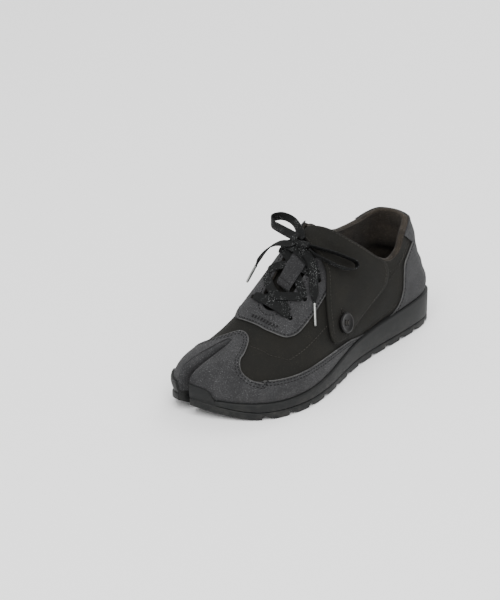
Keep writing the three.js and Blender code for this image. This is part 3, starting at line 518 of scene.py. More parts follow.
    def over_side(self, y, z, side: Side, offset=0.0) -> np.ndarray:
        """Points over the last, given from one side."""
        y, z = np.broadcast_arrays(np.asarray(y, float), np.asarray(z, float))
        power_key = "out" if side is Side.LATERAL else "inn"
        section_y = y.copy()
        for _ in range(8):
            index = self.row_of(section_y)
            foot = self.column("foot", index) * SOLE_HEIGHT
            top = self.column("top", index) * COLLAR_HEIGHT
            up = np.clip((z - foot) / (top - foot), 0, 1) ** (self.column(power_key, index) / 2)
            angle = np.arcsin(up) / math.pi
            turn = angle if side is Side.LATERAL else 1 - angle
            section_y = section_y + (y - self.point(index, turn)[..., 1])
        return self.over(index, turn, offset)

    def form(self, name: str, offset, drop: float = 5.0) -> Solid:
        """Closed form of the last.

        Args:
            name: Name of the object.
            offset: Distance over the last, or a function that gives it for points.
            drop: How far the skirt hangs below the foot.

        Returns:
            The solid.
        """
        index, turn = np.meshgrid(self.stations, np.linspace(0, 1, self.ring + 1), indexing="ij")
        distance = offset(self.point(index, turn)) if callable(offset) else offset
        p = self.over(index, turn, distance)
        down = np.array([0, 0, drop])
        return Solid.loft(name, np.concatenate([p[:, :1] - down, p, p[:, -1:] - down], 1), False)

    def below(self, name: str, height: Callable) -> Solid:
        """What lies under a height given for row numbers."""
        rings = []
        rows = self.stations
        ys = along(self.column("at", rows))
        heights = height(rows)
        for y, h in [(-FAR, heights[0]), *zip(ys, heights), (FAR, heights[-1])]:
            rings.append([(FAR, y, -FAR), (FAR, y, h), (-FAR, y, h), (-FAR, y, -FAR)])
        return Solid.loft(name, np.array(rings), True)

    def layer(self, name: str, inset: float, bottom: Callable, top: Callable) -> Solid:
        """Layer of the sole with rounded edges.

        Args:
            name: Name of the object.
            inset: Distance of its edge inside the outline.
            bottom: Height of its underside for row numbers.
            top: Height of its top for row numbers.

        Returns:
            The solid.
        """
        rows = self.stations
        low, high = bottom(rows), top(rows)
        round_ = np.minimum(EDGE_ROUND, (high - low) / 3)
        arc = np.linspace(0, math.pi / 2, 4)
        side = [(round_ * (1 - np.sin(a)), low + round_ * (1 - np.cos(a))) for a in arc]
        side += [(round_ * (1 - np.cos(a)), high - round_ * (1 - np.sin(a))) for a in arc]
        ring = []
        for s, steps in ((Side.LATERAL, side), (Side.MEDIAL, side[::-1])):
            for more, z in steps:
                x, y = self.edge(rows, s, inset + more)
                ring.append(np.stack([x, y, z], axis=-1))
        return Solid.loft(name, np.stack(ring, axis=1), False)


LAST = Last()


def foot_height(rows: np.ndarray) -> np.ndarray:
    """Top edge of the midsole at row numbers."""
    return LAST.column("foot", rows) * SOLE_HEIGHT


def toe_spring(y) -> np.ndarray:
    """Height of the tread over the floor at places along the shoe."""
    return TOE_SPRING * np.clip((along(0) + SPRING_LENGTH - y) / SPRING_LENGTH, 0, 1) ** 1.6


def plate_top(rows: np.ndarray) -> np.ndarray:
    """Top of the tread plate at row numbers."""
    return toe_spring(along(LAST.column("at", rows))) + PLATE_TOP


def split_line(y) -> np.ndarray:
    """Middle of the toe split at a place along the shoe."""
    return mix(-0.40, -0.31, (y - along(0)) / SPLIT_LENGTH) * HALF


def split_half_width(y: float, width: float, length: float) -> float:
    """Half of a split's width, with its rounded mouth."""
    t = min(max((along(0) + length - y) / length, 0), 1)
    mouth = min(max((along(0) + 2 * SPLIT_MOUTH - y) / (2 * SPLIT_MOUTH), 0), 1)
    return width / 2 * math.sqrt(t) + SPLIT_MOUTH * (1 - math.sqrt(1 - 0.98 * mouth ** 2))


class Cutters:
    """Regions that shape the panels."""

    def split(self, grow: float) -> Solid:
        """Toe split in the upper, widened by grow."""
        rows, rolls, end = 28, 9, along(0) + SPLIT_LENGTH
        rings = []
        for i in range(rows + 1):
            y = mix(along(-0.02), end + grow, math.sin(math.pi / 2 * i / rows))
            x = float(split_line(y))
            index = LAST.row_of(max(y, along(0.02)))
            share = math.sqrt(min(max((end - y) / SPLIT_LENGTH, 0), 1))
            radius = max(mix(1.5, SPLIT_ROLL, share) - grow, 0.3)
            wall = max(split_half_width(y, SPLIT_WIDTH, SPLIT_LENGTH) + grow, 0.05)
            top = float(LAST.point(index, LAST.turn_of(index, x))[..., 2]) + CLEARANCE - grow
            side = [(wall, 0)]
            for k in range(rolls + 1):
                angle = math.pi / 2 * k / rolls
                side.append((wall + radius * (1 - math.cos(angle)),
                             top - radius * (1 - math.sin(angle))))
            edge = wall + radius + grow / 2 + 0.02
            side += [(edge, top + 0.02), (edge + 0.02, FAR)]
            rings.append([(x + w, y, z) for w, z in side] + [(x - w, y, z) for w, z in side[::-1]])
        return Solid.loft("split", np.array(rings), True)

    def sole_split(self, grow: float) -> Solid:
        """Toe split in the sole, widened by grow."""
        rows, end = 24, along(0) + SOLE_SPLIT_LENGTH + grow
        walls = []
        for sign in (1, -1):
            wall = []
            for i in range(rows + 1):
                y = mix(along(-0.02), end, math.sin(math.pi / 2 * i / rows))
                width = split_half_width(y, SOLE_SPLIT_WIDTH, SOLE_SPLIT_LENGTH) + max(grow, 0.05)
                wall.append((float(split_line(y)) + sign * width, y))
            walls.append(wall)
        return Solid.prism("sole_split", walls[0] + walls[1][::-1], View.ABOVE, -FAR, FAR)

    def collar(self) -> Solid:
        """What lies above the collar line."""
        def half(column: int, low: float, high: float) -> Solid:
            """One side of the cut."""
            line = spline([(along(row[0]), row[column] * COLLAR_HEIGHT) for row in COLLAR_LINE], 90)
            outline = [(line[0][0], FAR), *map(tuple, line), (line[-1][0], FAR)]
            return Solid.prism("collar", outline, View.SIDE, low, high)
        return half(1, THROAT_CENTRE - CLEARANCE, FAR).join(half(2, -FAR, THROAT_CENTRE))

    def throat(self) -> Solid:
        """Round-ended slot along the instep."""
        radius = THROAT_WIDTH / 2
        back = along(COLLAR_LINE[0, 0]) + radius
        outline = [(THROAT_CENTRE + radius, back), (THROAT_CENTRE - radius, back)]
        for angle in np.linspace(math.pi, 2 * math.pi, 25):
            outline.append((THROAT_CENTRE + radius * math.cos(angle),
                            THROAT_FRONT + radius * (1 + math.sin(angle))))
        return Solid.prism("throat", outline, View.ABOVE, SOLE_HEIGHT, FAR)

    def toe(self) -> Solid:
        """Region of the toe overlay and its bands along the sole."""
        edge = spline([(across * HALF, along(at)) for at, across in TOE_EDGE], 90)
        outline = [(FAR, -FAR), (FAR, edge[0][1]), *map(tuple, edge), (-FAR, edge[-1][1]),
                   (-FAR, -FAR)]
        region = Solid.prism("toe", outline, View.ABOVE, 0, FAR)
        for rows, low, high in ((TOE_BAND_LATERAL, THROAT_CENTRE, FAR),
                                (TOE_BAND_MEDIAL, -FAR, THROAT_CENTRE)):
            line = spline([(along(at), height * COLLAR_HEIGHT) for at, height in rows], 50)
            outline = [(-FAR, line[0][1]), *map(tuple, line), (line[-1][0], 0), (-FAR, 0)]
            region.join(Solid.prism("band", outline, View.SIDE, low, high))
        return region

    def eyestay(self) -> Solid:
        """Region of the eyestay."""
        lateral = spline([(across * HALF, along(at)) for at, across in EYESTAY_LATERAL], 70)
        outline = [*map(tuple, lateral), (THROAT_CENTRE, lateral[-1][1])]
        region = Solid.prism("eyestay", outline, View.ABOVE, 0, FAR)
        medial = spline([(along(at), h * COLLAR_HEIGHT) for at, h in EYESTAY_MEDIAL], 60)
        outline = [(medial[0][0], FAR), *map(tuple, medial), (medial[-1][0], FAR)]
        return region.join(Solid.prism("side", outline, View.SIDE, -FAR, THROAT_CENTRE))

    def counter(self) -> Solid:
        """Region of the heel counter."""
        edge = spline([(along(at), h * COLLAR_HEIGHT) for at, h in COUNTER_EDGE], 60)
        outline = [*map(tuple, edge), (FAR, edge[-1][1]), (FAR, 0), (edge[0][0], 0)]
        return Solid.prism("counter", outline, View.SIDE, -FAR, FAR)

    def tab(self) -> Solid:
        """Region of the heel tab."""
        at, height = COUNTER_EDGE[-1]
        z = height * COLLAR_HEIGHT + CLEARANCE
        corner = (along(TAB_CORNER[0]), TAB_CORNER[1] * COLLAR_HEIGHT)
        outline = [(along(at), z), (FAR, z), (FAR, FAR), (corner[0], FAR), corner]
        return Solid.prism("tab", outline, View.SIDE, -FAR, FAR)

    def bumper(self, grow: float) -> Solid:
        """Where the front rubber covers the toes, widened by grow."""
        lateral = spline([(x * HALF + grow, h * SOLE_HEIGHT + grow) for x, h in BUMPER_LATERAL], 40)
        medial = spline([(along(at) + grow, h * SOLE_HEIGHT + grow) for at, h in BUMPER_MEDIAL], 40)
        low, middle = 1.0, float(split_line(along(0)))
        front = [(middle, low), (middle, lateral[0][1])]
        front += [tuple(p) for p in lateral if p[0] > middle] + [(lateral[-1][0], low)]
        side = [*map(tuple, medial), (medial[-1][0], low), (medial[0][0], low)]
        region = Solid.prism("front", front, View.FRONT, LENGTH / 3, FAR)
        return region.join(Solid.prism("side", side, View.SIDE, -FAR, middle))

    def eyelets(self) -> list[Solid]:
        """Rods through the eyestay's holes."""
        rods = []
        for row in range(3):
            for sign in (1, -1):
                x = THROAT_CENTRE + sign * EYELET_SPREAD / 2
                y = FIRST_EYELET + row * EYELET_PITCH
                place = LAST.over_plan(x, y)
                ahead = unit(LAST.over_plan(x, y, 1) - place)
                rods.append(Tube.rod("eyelet", place - 6 * ahead, place + 6 * ahead, EYELET_HOLE / 2))
        return rods


class Tube:
    """Meshes that follow lines."""

    @staticmethod
    def frames(points: np.ndarray, wide: np.ndarray) -> tuple[np.ndarray, np.ndarray]:
        """Directions of width and height along a line."""
        ahead = directions(points)
        wide = unit(wide - ahead * np.sum(wide * ahead, axis=1, keepdims=True))
        return wide, np.cross(wide, ahead)

    @classmethod
    def rod(cls, name: str, start: np.ndarray, end: np.ndarray, radius: float) -> Solid:
        """Round rod between two points."""
        ahead = unit(end - start)
        aside = unit(np.cross(ahead, (0.3, 0.5, 0.8)))
        high = np.cross(ahead, aside)
        ring = [radius * (math.cos(a) * aside + math.sin(a) * high)
                for a in np.linspace(0, 2 * math.pi, 24, endpoint=False)]
        return Solid.loft(name, np.array([[p + r for r in ring] for p in (start, end)]), True)

    @classmethod
    def sweep(cls, name: str, points: np.ndarray, wide: np.ndarray, section: np.ndarray,
              scale: np.ndarray | None = None) -> Solid:
        """Solid that carries a section along a line.

        Args:
            name: Name of the object.
            points: Points of the line.
            wide: Direction of the section's width at each point.
            section: Section points, width and height.
            scale: Width and height factors at each point.

        Returns:
            The solid, with a layer that gives places along and across it.
        """
        wide, high = cls.frames(points, wide)
        if scale is None:
            scale = np.ones((len(points), 2))
        w = section[None, :, :1] * scale[:, None, :1]
        h = section[None, :, 1:] * scale[:, None, 1:]
        rings = points[:, None] + wide[:, None] * w + high[:, None] * h
        body = Solid.loft(name, rings, True)
        way = np.concatenate([[0], np.cumsum(np.linalg.norm(np.diff(points, axis=0), axis=1))])
        mesh = body.object.data
        if len(mesh.vertices) == rings.shape[0] * rings.shape[1]:
            layer = mesh.uv_layers.new(name="weave")
            u = np.repeat(way, len(section))
            v = np.tile(section[:, 0], len(points))
            corner = np.zeros(len(mesh.loops), int)
            mesh.loops.foreach_get("vertex_index", corner)
            pairs = np.stack([u[corner], v[corner]], axis=1) / 10
            layer.data.foreach_set("uv", pairs.ravel())
        return body


def lace_section(width: float = LACE_WIDTH, thickness: float = LACE_THICKNESS) -> np.ndarray:
    """Section of a flat tubular lace, with rounded edges and a slightly hollow middle."""
    a = np.linspace(0, 2 * math.pi, 20, endpoint=False)
    x = np.sign(np.cos(a)) * np.abs(np.cos(a)) ** 0.55 * width / 2
    z = np.sign(np.sin(a)) * np.abs(np.sin(a)) ** 0.6 * thickness / 2
    return np.stack([x, z * (0.84 + 0.16 * (x / (width / 2)) ** 2)], axis=1)


class Skin:
    """Surface at a distance over the last, on which lines are laid."""

    def __init__(self, offset: float) -> None:
        """Builds the search tree of the surface."""
        index, turn = np.meshgrid(LAST.stations, np.linspace(0, 1, LAST.ring + 1), indexing="ij")
        p = LAST.over(index, turn, offset)
        n, m = p.shape[:2]
        faces = [(i * m + j, i * m + j + 1, (i + 1) * m + j + 1, (i + 1) * m + j)
                 for i in range(n - 1) for j in range(m - 1)]
        self.tree = BVHTree.FromPolygons([tuple(q) for q in p.reshape(-1, 3)], faces)
        self.centre = np.array([THROAT_CENTRE, 0, 20])

    def drop(self, points: np.ndarray) -> tuple[np.ndarray, np.ndarray]:
        """Nearest points of the surface and its outward directions there."""
        places, normals = [], []
        for point in points:
            place, normal, _, _ = self.tree.find_nearest(Vector(point))
            axis = np.array([self.centre[0], place[1] * 0.8, self.centre[2]])
            out = np.array(normal)
            if np.dot(out, np.array(place) - axis) < 0:
                out = -out
            places.append(np.array(place))
            normals.append(out)
        return np.array(places), np.array(normals)

    def inset(self, points: np.ndarray, distance: float) -> tuple[np.ndarray, np.ndarray]:
        """Line moved sideways on the surface.

        Args:
            points: The line, with the panel on its right when seen from outside.
            distance: How far the new line lies inside the panel.

        Returns:
            Its points and the outward directions.
        """
        places, normals = self.drop(resample(points, 1.5))
        aside = unit(np.cross(normals, directions(places)))
        return self.drop(places + aside * distance)


class Stitching:
    """Rows of stitches, joined into one mesh."""

    def __init__(self, length: float = 2.3, gap: float = 0.9, radius: float = 0.34) -> None:
        """Keeps the thread's sizes and starts with no stitch."""
        self.length, self.gap, self.radius = length, gap, radius
        self.points: list = []
        self.faces: list = []

    def row(self, line: np.ndarray, normals: np.ndarray, lift: float = 0.08) -> None:
        """Adds one row of stitches along a line on the surface."""
        both = resample(np.hstack([line, normals]), self.length + self.gap)
        line, normals = both[:, :3], unit(both[:, 3:])
        ahead = directions(line)
        for place, t, n in zip(line[:-1], ahead, normals):
            self.stitch(place + t * self.length / 2, t, n, lift)

    def stitch(self, place: np.ndarray, t: np.ndarray, n: np.ndarray, lift: float) -> None:
        """Adds one stitch, sunk at both ends."""
        b = np.cross(t, n)
        start = len(self.points)
        stops = ((-0.5, 0.35, -0.30), (-0.32, 0.9, 0.0), (0.0, 1.0, 0.10), (0.32, 0.9, 0.0),
                 (0.5, 0.35, -0.30))
        for s, size, high in stops:
            centre = place + t * s * self.length + n * (lift + high)
            for k in range(6):
                a = k * math.pi / 3
                self.points.append(centre + self.radius * size * (math.cos(a) * b + math.sin(a) * n))
        for i in range(len(stops) - 1):
            for k in range(6):
                a, c = start + i * 6 + k, start + i * 6 + (k + 1) % 6
                self.faces.append((a, c, c + 6, a + 6))
        self.faces.append(tuple(start + k for k in range(6)))
        self.faces.append(tuple(start + 24 + k for k in range(5, -1, -1)))

    def solid(self, name: str) -> Solid:
        """All stitches as one object."""
        return Solid(name, self.points, self.faces)


class Nodes:
    """Short way to add nodes to a tree and link them."""

    def __init__(self, tree: bpy.types.NodeTree) -> None:
        """Keeps the tree."""
        self.tree = tree

    def add(self, kind: str, settings: dict | None = None, **inputs) -> bpy.types.Node:
        """Adds a node.

        Args:
            kind: Type of the node.
            settings: Properties of the node.
            **inputs: Values or sockets for its inputs, by name with _ for a space.

        Returns:
            The node.
        """
        node = self.tree.nodes.new(kind)
        for key, value in (settings or {}).items():
            setattr(node, key, value)
        for key, value in inputs.items():
            socket = node.inputs[key.replace("_", " ")]
            if isinstance(value, bpy.types.NodeSocket):
                self.tree.links.new(value, socket)
            else:
                socket.default_value = value
        return node

    def math(self, operation: str, a, b=0.0, clamp: bool = False) -> bpy.types.NodeSocket:
        """Result of a Math node."""
        node = self.tree.nodes.new("ShaderNodeMath")
        node.operation, node.use_clamp = operation, clamp
        for socket, value in zip(node.inputs, (a, b)):
            if isinstance(value, bpy.types.NodeSocket):
                self.tree.links.new(value, socket)
            else:
                socket.default_value = value
        return node.outputs[0]

    def span(self, value, low: float, high: float, to_low=0.0, to_high=1.0) -> bpy.types.NodeSocket:
        """Value mapped from one range to another."""
        node = self.add("ShaderNodeMapRange", None, Value=value, From_Min=low, From_Max=high,
                        To_Min=to_low, To_Max=to_high)
        return node.outputs["Result"]

    def blend(self, factor, a, b) -> bpy.types.NodeSocket:
        """Colour between two colours."""
        node = self.tree.nodes.new("ShaderNodeMix")
        node.data_type = "RGBA"
        for socket, value in ((node.inputs[0], factor), (node.inputs[6], a), (node.inputs[7], b)):
            if isinstance(value, bpy.types.NodeSocket):
                self.tree.links.new(value, socket)
            else:
                socket.default_value = value
        return node.outputs[2]


def group(name: str, inputs: dict, outputs: Sequence[str], build: Callable) -> bpy.types.NodeTree:
    """Shader node group with named sockets.

    Args:
        name: Name of the group.
        inputs: Names of its inputs and their default values, None for a vector.
        outputs: Names of its outputs, all plain values.
        build: Function that gets Nodes and the group's inputs and returns its outputs by name.

    Returns:
        The group.
    """
    tree = bpy.data.node_groups.new(name, "ShaderNodeTree")
    for key, value in inputs.items():
        kind = "NodeSocketVector" if value is None else "NodeSocketFloat"
        socket = tree.interface.new_socket(name=key, in_out="INPUT", socket_type=kind)
        if value is not None:
            socket.default_value = value
    for key in outputs:
        tree.interface.new_socket(name=key, in_out="OUTPUT", socket_type="NodeSocketFloat")
    start, end = tree.nodes.new("NodeGroupInput"), tree.nodes.new("NodeGroupOutput")
    for key, socket in build(Nodes(tree), start.outputs).items():
        tree.links.new(socket, end.inputs[key])
    return tree


def build_nap(n: Nodes, i: Sequence) -> dict:
    """Nap of brushed leather: cloudy tone from stroking and a fine fibre height."""
    cloud = n.add("ShaderNodeTexNoise", None, Vector=i["Vector"], Scale=i["Cloud Scale"],
                  Detail=4.0, Roughness=0.6, Distortion=0.4).outputs["Fac"]
    fibre = n.add("ShaderNodeTexNoise", None, Vector=i["Vector"], Scale=i["Fibre Scale"],
                  Detail=3.0, Roughness=0.7).outputs["Fac"]
    return {"Tone": n.span(cloud, 0.32, 0.68), "Height": fibre}


def build_speckle(n: Nodes, i: Sequence) -> dict:
    """Light specks where fibres catch the light."""
    fine = n.add("ShaderNodeTexNoise", None, Vector=i["Vector"], Scale=i["Scale"], Detail=2.0,
                 Roughness=0.8).outputs["Fac"]
    patch = n.add("ShaderNodeTexNoise", None, Vector=i["Vector"], Scale=90.0,
                  Detail=2.0).outputs["Fac"]
    mask = n.math("MULTIPLY", n.span(fine, 0.56, 0.70), n.span(patch, 0.35, 0.60, 0.45, 1.0))
    return {"Mask": n.math("MULTIPLY", mask, i["Amount"], True)}


def build_dust(n: Nodes, i: Sequence) -> dict:
    """Dust and scuffs that grow towards the floor."""
    height = n.add("ShaderNodeSeparateXYZ", None, Vector=i["Vector"]).outputs["Z"]
    low = n.span(height, 0.0, i["Reach"], 1.0, 0.0)
    patch = n.add("ShaderNodeTexNoise", None, Vector=i["Vector"], Scale=140.0, Detail=6.0,
                  Roughness=0.65).outputs["Fac"]
    mask = n.math("MULTIPLY", low, n.span(patch, 0.45, 0.72))
    return {"Mask": n.math("MULTIPLY", mask, i["Amount"], True)}


def build_weave(n: Nodes, i: Sequence) -> dict:
    """Braid of a flat lace from its places along and across; its height also darkens the grooves as
    painted shade.
    """
    parts = n.add("ShaderNodeSeparateXYZ", None, Vector=i["Vector"])
    u = n.math("MULTIPLY", parts.outputs["X"], i["Rows"])
    v = n.math("MULTIPLY", parts.outputs["Y"], i["Rows"])
    one = n.math("SINE", n.math("ADD", u, v))
    two = n.math("SINE", n.math("SUBTRACT", u, v))
    braid = n.math("MAXIMUM", one, two)
    sparks = n.add("ShaderNodeTexVoronoi", None, Vector=i["Place"], Scale=1300.0)
    dot = n.span(sparks.outputs["Distance"], 0.18, 0.40, 1.0, 0.0)
    pick = n.add("ShaderNodeSeparateColor", None, Color=sparks.outputs["Color"]).outputs["Red"]
    patch = n.add("ShaderNodeTexNoise", None, Vector=i["Place"], Scale=60.0,
                  Detail=2.0).outputs["Fac"]
    spark = n.math("MULTIPLY", dot, n.span(pick, 0.55, 0.60))
    spark = n.math("MULTIPLY", spark, n.span(patch, 0.49, 0.60, 0.04, 1.0))
    return {"Height": n.span(braid, -1.0, 1.0), "Spark": spark}


class Effects:
    """Node groups shared by the finishes."""

    def __init__(self) -> None:
        """Builds each group once."""
        self.nap = group("nap", {"Vector": None, "Cloud Scale": 60.0, "Fibre Scale": 2600.0},
                         ("Tone", "Height"), build_nap)
        self.speckle = group("speckle", {"Vector": None, "Scale": 1900.0, "Amount": 0.5},
                             ("Mask",), build_speckle)
        self.dust = group("dust", {"Vector": None, "Reach": 0.03, "Amount": 0.3}, ("Mask",),
                          build_dust)
        self.weave = group("weave", {"Vector": None, "Place": None, "Rows": 60.0},
                           ("Height", "Spark"), build_weave)


def colour(code: str) -> tuple[float, float, float, float]:
    """Linear colour of an sRGB code such as 454547."""
    parts = [int(code[k:k + 2], 16) / 255 for k in (0, 2, 4)]
    linear = [c / 12.92 if c <= 0.04045 else ((c + 0.055) / 1.055) ** 2.4 for c in parts]
    return (*linear, 1.0)


@dataclass(frozen=True)
class Finish:
    """Look of one material."""

    name: str
    slot: str
    deep: str
    pale: str
    speck: str = "8d8d90"
    dirt: str = "8a857c"
    roughness: float = 0.9
    sheen: float = 0.0
    specular: float = 0.3
    cloud: float = 60.0
    fibre: float = 2600.0
    depth_m: float = 0.00025
    speckle: float = 0.0
    speck_scale: float = 1000.0
    dust: float = 0.2
    reach_m: float = 0.03

    def material(self, effects: Effects) -> bpy.types.Material:
        """Builds the material of this finish.

        Args:
            effects: The shared node groups.

        Returns:
            The material.
        """
        made = bpy.data.materials.new(self.name)
        made.use_nodes = True
        made.node_tree.nodes.clear()
        n = Nodes(made.node_tree)
        place = n.add("ShaderNodeTexCoord").outputs["Object"]
        nap = n.add("ShaderNodeGroup", {"node_tree": effects.nap}, Vector=place,
                    Cloud_Scale=self.cloud, Fibre_Scale=self.fibre)
        tone = n.blend(nap.outputs["Tone"], colour(self.deep), colour(self.pale))
        speck = n.add("ShaderNodeGroup", {"node_tree": effects.speckle}, Vector=place,
                      Scale=self.speck_scale, Amount=self.speckle)
        tone = n.blend(speck.outputs["Mask"], tone, colour(self.speck))
        dust = n.add("ShaderNodeGroup", {"node_tree": effects.dust}, Vector=place,
                     Reach=self.reach_m, Amount=self.dust)
        tone = n.blend(dust.outputs["Mask"], tone, colour(self.dirt))
        bump = n.add("ShaderNodeBump", None, Strength=0.8, Distance=self.depth_m,
                     Height=nap.outputs["Height"])
        rough = n.span(nap.outputs["Tone"], 0.0, 1.0, self.roughness - 0.06, self.roughness + 0.04)
        self.shader(n, tone, rough, bump.outputs["Normal"])
        return made

    def shader(self, n: Nodes, tone, rough, normal, metal: float = 0.0) -> bpy.types.Node:
        """Adds the surface shader and the output."""
        surface = n.add("ShaderNodeBsdfPrincipled", None, Base_Color=tone, Roughness=rough,
                        Normal=normal)
        surface.inputs["Metallic"].default_value = metal
        surface.inputs["Sheen Weight"].default_value = self.sheen
        surface.inputs["Sheen Roughness"].default_value = 0.5
        surface.inputs["Specular IOR Level"].default_value = self.specular
        n.add("ShaderNodeOutputMaterial", None, Surface=surface.outputs["BSDF"])
        return surface


@dataclass(frozen=True)
class LaceFinish(Finish):
    """Woven lace with glittering threads."""

    rows: float = 75.0

    def material(self, effects: Effects) -> bpy.types.Material:
        """Builds the lace's material from the weave."""
        made = bpy.data.materials.new(self.name)
        made.use_nodes = True
        made.node_tree.nodes.clear()
        n = Nodes(made.node_tree)
        source = n.add("ShaderNodeTexCoord")
        weave = n.add("ShaderNodeGroup", {"node_tree": effects.weave}, Vector=source.outputs["UV"],
                      Place=source.outputs["Object"], Rows=self.rows)
        # Tone follows the braid's height: painted shade darkens the grooves and the crests are painted
        # lighter.
        tone = n.blend(weave.outputs["Height"], colour(self.deep), colour(self.pale))
        tone = n.blend(weave.outputs["Spark"], tone, colour(self.speck))
        bump = n.add("ShaderNodeBump", None, Strength=0.9, Distance=self.depth_m,
                     Height=weave.outputs["Height"])
        rough = n.span(weave.outputs["Spark"], 0.0, 1.0, self.roughness, 0.25)
        self.shader(n, tone, rough, bump.outputs["Normal"])
        return made


@dataclass(frozen=True)
class MetalFinish(Finish):
    """Bright drawn metal."""

    def material(self, effects: Effects) -> bpy.types.Material:
        """Builds the metal with fine scratches."""
        made = bpy.data.materials.new(self.name)
        made.use_nodes = True
        made.node_tree.nodes.clear()
        n = Nodes(made.node_tree)
        place = n.add("ShaderNodeTexCoord").outputs["Object"]
        nap = n.add("ShaderNodeGroup", {"node_tree": effects.nap}, Vector=place,
                    Cloud_Scale=self.cloud, Fibre_Scale=self.fibre)
        tone = n.blend(nap.outputs["Tone"], colour(self.deep), colour(self.pale))
        rough = n.span(nap.outputs["Height"], 0.3, 0.7, self.roughness, self.roughness + 0.15)
        bump = n.add("ShaderNodeBump", None, Strength=0.3, Distance=self.depth_m,
                     Height=nap.outputs["Height"])
        self.shader(n, tone, rough, bump.outputs["Normal"], 1.0)
        return made


class Finishes:
    """All materials of the shoe."""

    def __init__(self) -> None:
        """Builds each material once."""
        effects = Effects()
        looks = {
            "suede": Finish("charcoal_suede", "suede", "252526", "303031", speck="666667",
                            roughness=0.95, sheen=0.05, specular=0.15, speckle=0.75, dust=0.06,
                            cloud=75.0, depth_m=0.0005, speck_scale=1250.0),
            "keeper": Finish("keeper_suede", "suede", "1e1e1f", "282829", speck="565657",
                             roughness=0.95, sheen=0.03, specular=0.15, speckle=0.6, dust=0.0),
            "nubuck": Finish("brown_black_nubuck", "nubuck", "11110f", "191815", speck="31302b",
                             roughness=0.85, sheen=0.02, specular=0.14, speckle=0.5, dust=0.04,
                             cloud=38.0, depth_m=0.0003, speck_scale=1250.0),
            "lining": Finish("brushed_lining", "lining", "1d1a17", "322d27", speck="57504a",
                             roughness=0.98, sheen=0.06, specular=0.1, speckle=0.6,
                             speck_scale=800.0, fibre=1200.0, depth_m=0.0008, dust=0.0),
            "rubber": Finish("charcoal_rubber", "rubber", "121313", "181919", speck="262727",
                             roughness=0.6, specular=0.2, speckle=0.2, dust=0.08, reach_m=0.022,
                             fibre=1500.0, depth_m=0.00008, cloud=25.0),
            "button": Finish("dark_button", "button", "080808", "0e0d0d", roughness=0.38,
                             specular=0.2, dust=0.0, depth_m=0.00002, cloud=160.0),
            "thread": Finish("dark_thread", "nubuck", "1d1c1a", "33312d", roughness=0.8,
                             specular=0.2, speckle=0.1, dust=0.0, depth_m=0.0001),
            "panel_thread": Finish("black_thread", "suede", "050505", "121212", roughness=0.8,
                                   specular=0.12, speckle=0.1, dust=0.0, depth_m=0.0001),
            # Panel edges are lighter than the suede: partly the raw edge's own tone, partly a painted
            # highlight along the rounded edge.
            "edge": Finish("cut_edge", "suede", "343434", "4c4c4b", roughness=0.95, specular=0.15,
                           speckle=0.5, dust=0.1, depth_m=0.0003),
            "lace": LaceFinish("glitter_lace", "lace", "080909", "121313", speck="7c7e7e",
                               roughness=0.75, specular=0.16, depth_m=0.0003),
            "tip": MetalFinish("bright_tip", "tip", "7b7c7a", "a4a5a2", roughness=0.28,
                               specular=0.5, depth_m=0.00002),
        }
        self.made = {key: look.material(effects) for key, look in looks.items()}
        self.slots = {key: look.slot for key, look in looks.items()}


class Dresser:
    """Turns solids into finished pieces of the shoe."""

    def __init__(self, finishes: Finishes) -> None:
        """Keeps the finishes."""
        self.finishes = finishes

    def dress(self, solid: Solid, look: str, *nodes: str, angle: float = 38.0,
              inside: str | None = None, skin: BVHTree | None = None) -> bpy.types.Object:
        """Shades a solid, gives it a material and puts it on the root body.

        Args:
            solid: The solid.
            look: Name of its finish.
            *nodes: CAD nodes that it stands for.
            angle: Edges sharper than this stay hard.
            inside: Name of a second finish, for faces that lie off the skin.
            skin: Search tree of the outer surface in metres.

        Returns:
            The piece.
        """
        piece = solid.take()
        mesh = piece.data
        mesh.materials.clear()
        mesh.materials.append(self.finishes.made[look])
        mesh.polygons.foreach_set("use_smooth", [True] * len(mesh.polygons))
        shape = bmesh.new()
        shape.from_mesh(mesh)
        limit = math.radians(angle)
        for edge in shape.edges:
            edge.smooth = not (len(edge.link_faces) == 2 and edge.calc_face_angle(0.0) > limit)
        if inside and skin:
            mesh.materials.append(self.finishes.made[inside])
            for face in shape.faces:
                _, _, _, gap = skin.find_nearest(face.calc_center_median())
                face.material_index = int(gap is not None and gap > 0.0009)
        shape.to_mesh(mesh)
        shape.free()
        if nodes:
            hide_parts(*nodes)
        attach(piece, "root")
        log.info("%s: %d faces", piece.name, len(mesh.polygons))
        return piece


@dataclass
class Camera:
    """Camera at the photograph's angle."""

    azimuth: float = 40.3
    elevation: float = 26.3
    distance: float = 1500.0
    focal: float = 1779.0
    target: tuple = (-3.0, -5.0, 45.0)
    aim: tuple = (306.2, 314.8)

    def build(self) -> None:
        """Adds the camera and makes it the scene's."""
        az, el = math.radians(self.azimuth), math.radians(self.elevation)
        back = Vector((math.sin(az) * math.cos(el), -math.cos(az) * math.cos(el), math.sin(el)))
        right = Vector((math.cos(az), math.sin(az), 0))
        up = back.cross(right)
        data = bpy.data.cameras.new("camera")
        data.sensor_width = 36.0
        data.lens = 36.0 * self.focal / 600
        data.shift_x = (250 - self.aim[0]) / 600
        data.shift_y = (self.aim[1] - 300) / 600
        data.clip_start, data.clip_end = 0.05, 20
        camera = bpy.data.objects.new("camera", data)
        turn = Matrix((right, up, back)).transposed().to_4x4()
        place = Vector(self.target) * MM + back * self.distance * MM
        camera.matrix_world = Matrix.Translation(place) @ turn
        bpy.context.scene.collection.objects.link(camera)
        bpy.context.scene.camera = camera


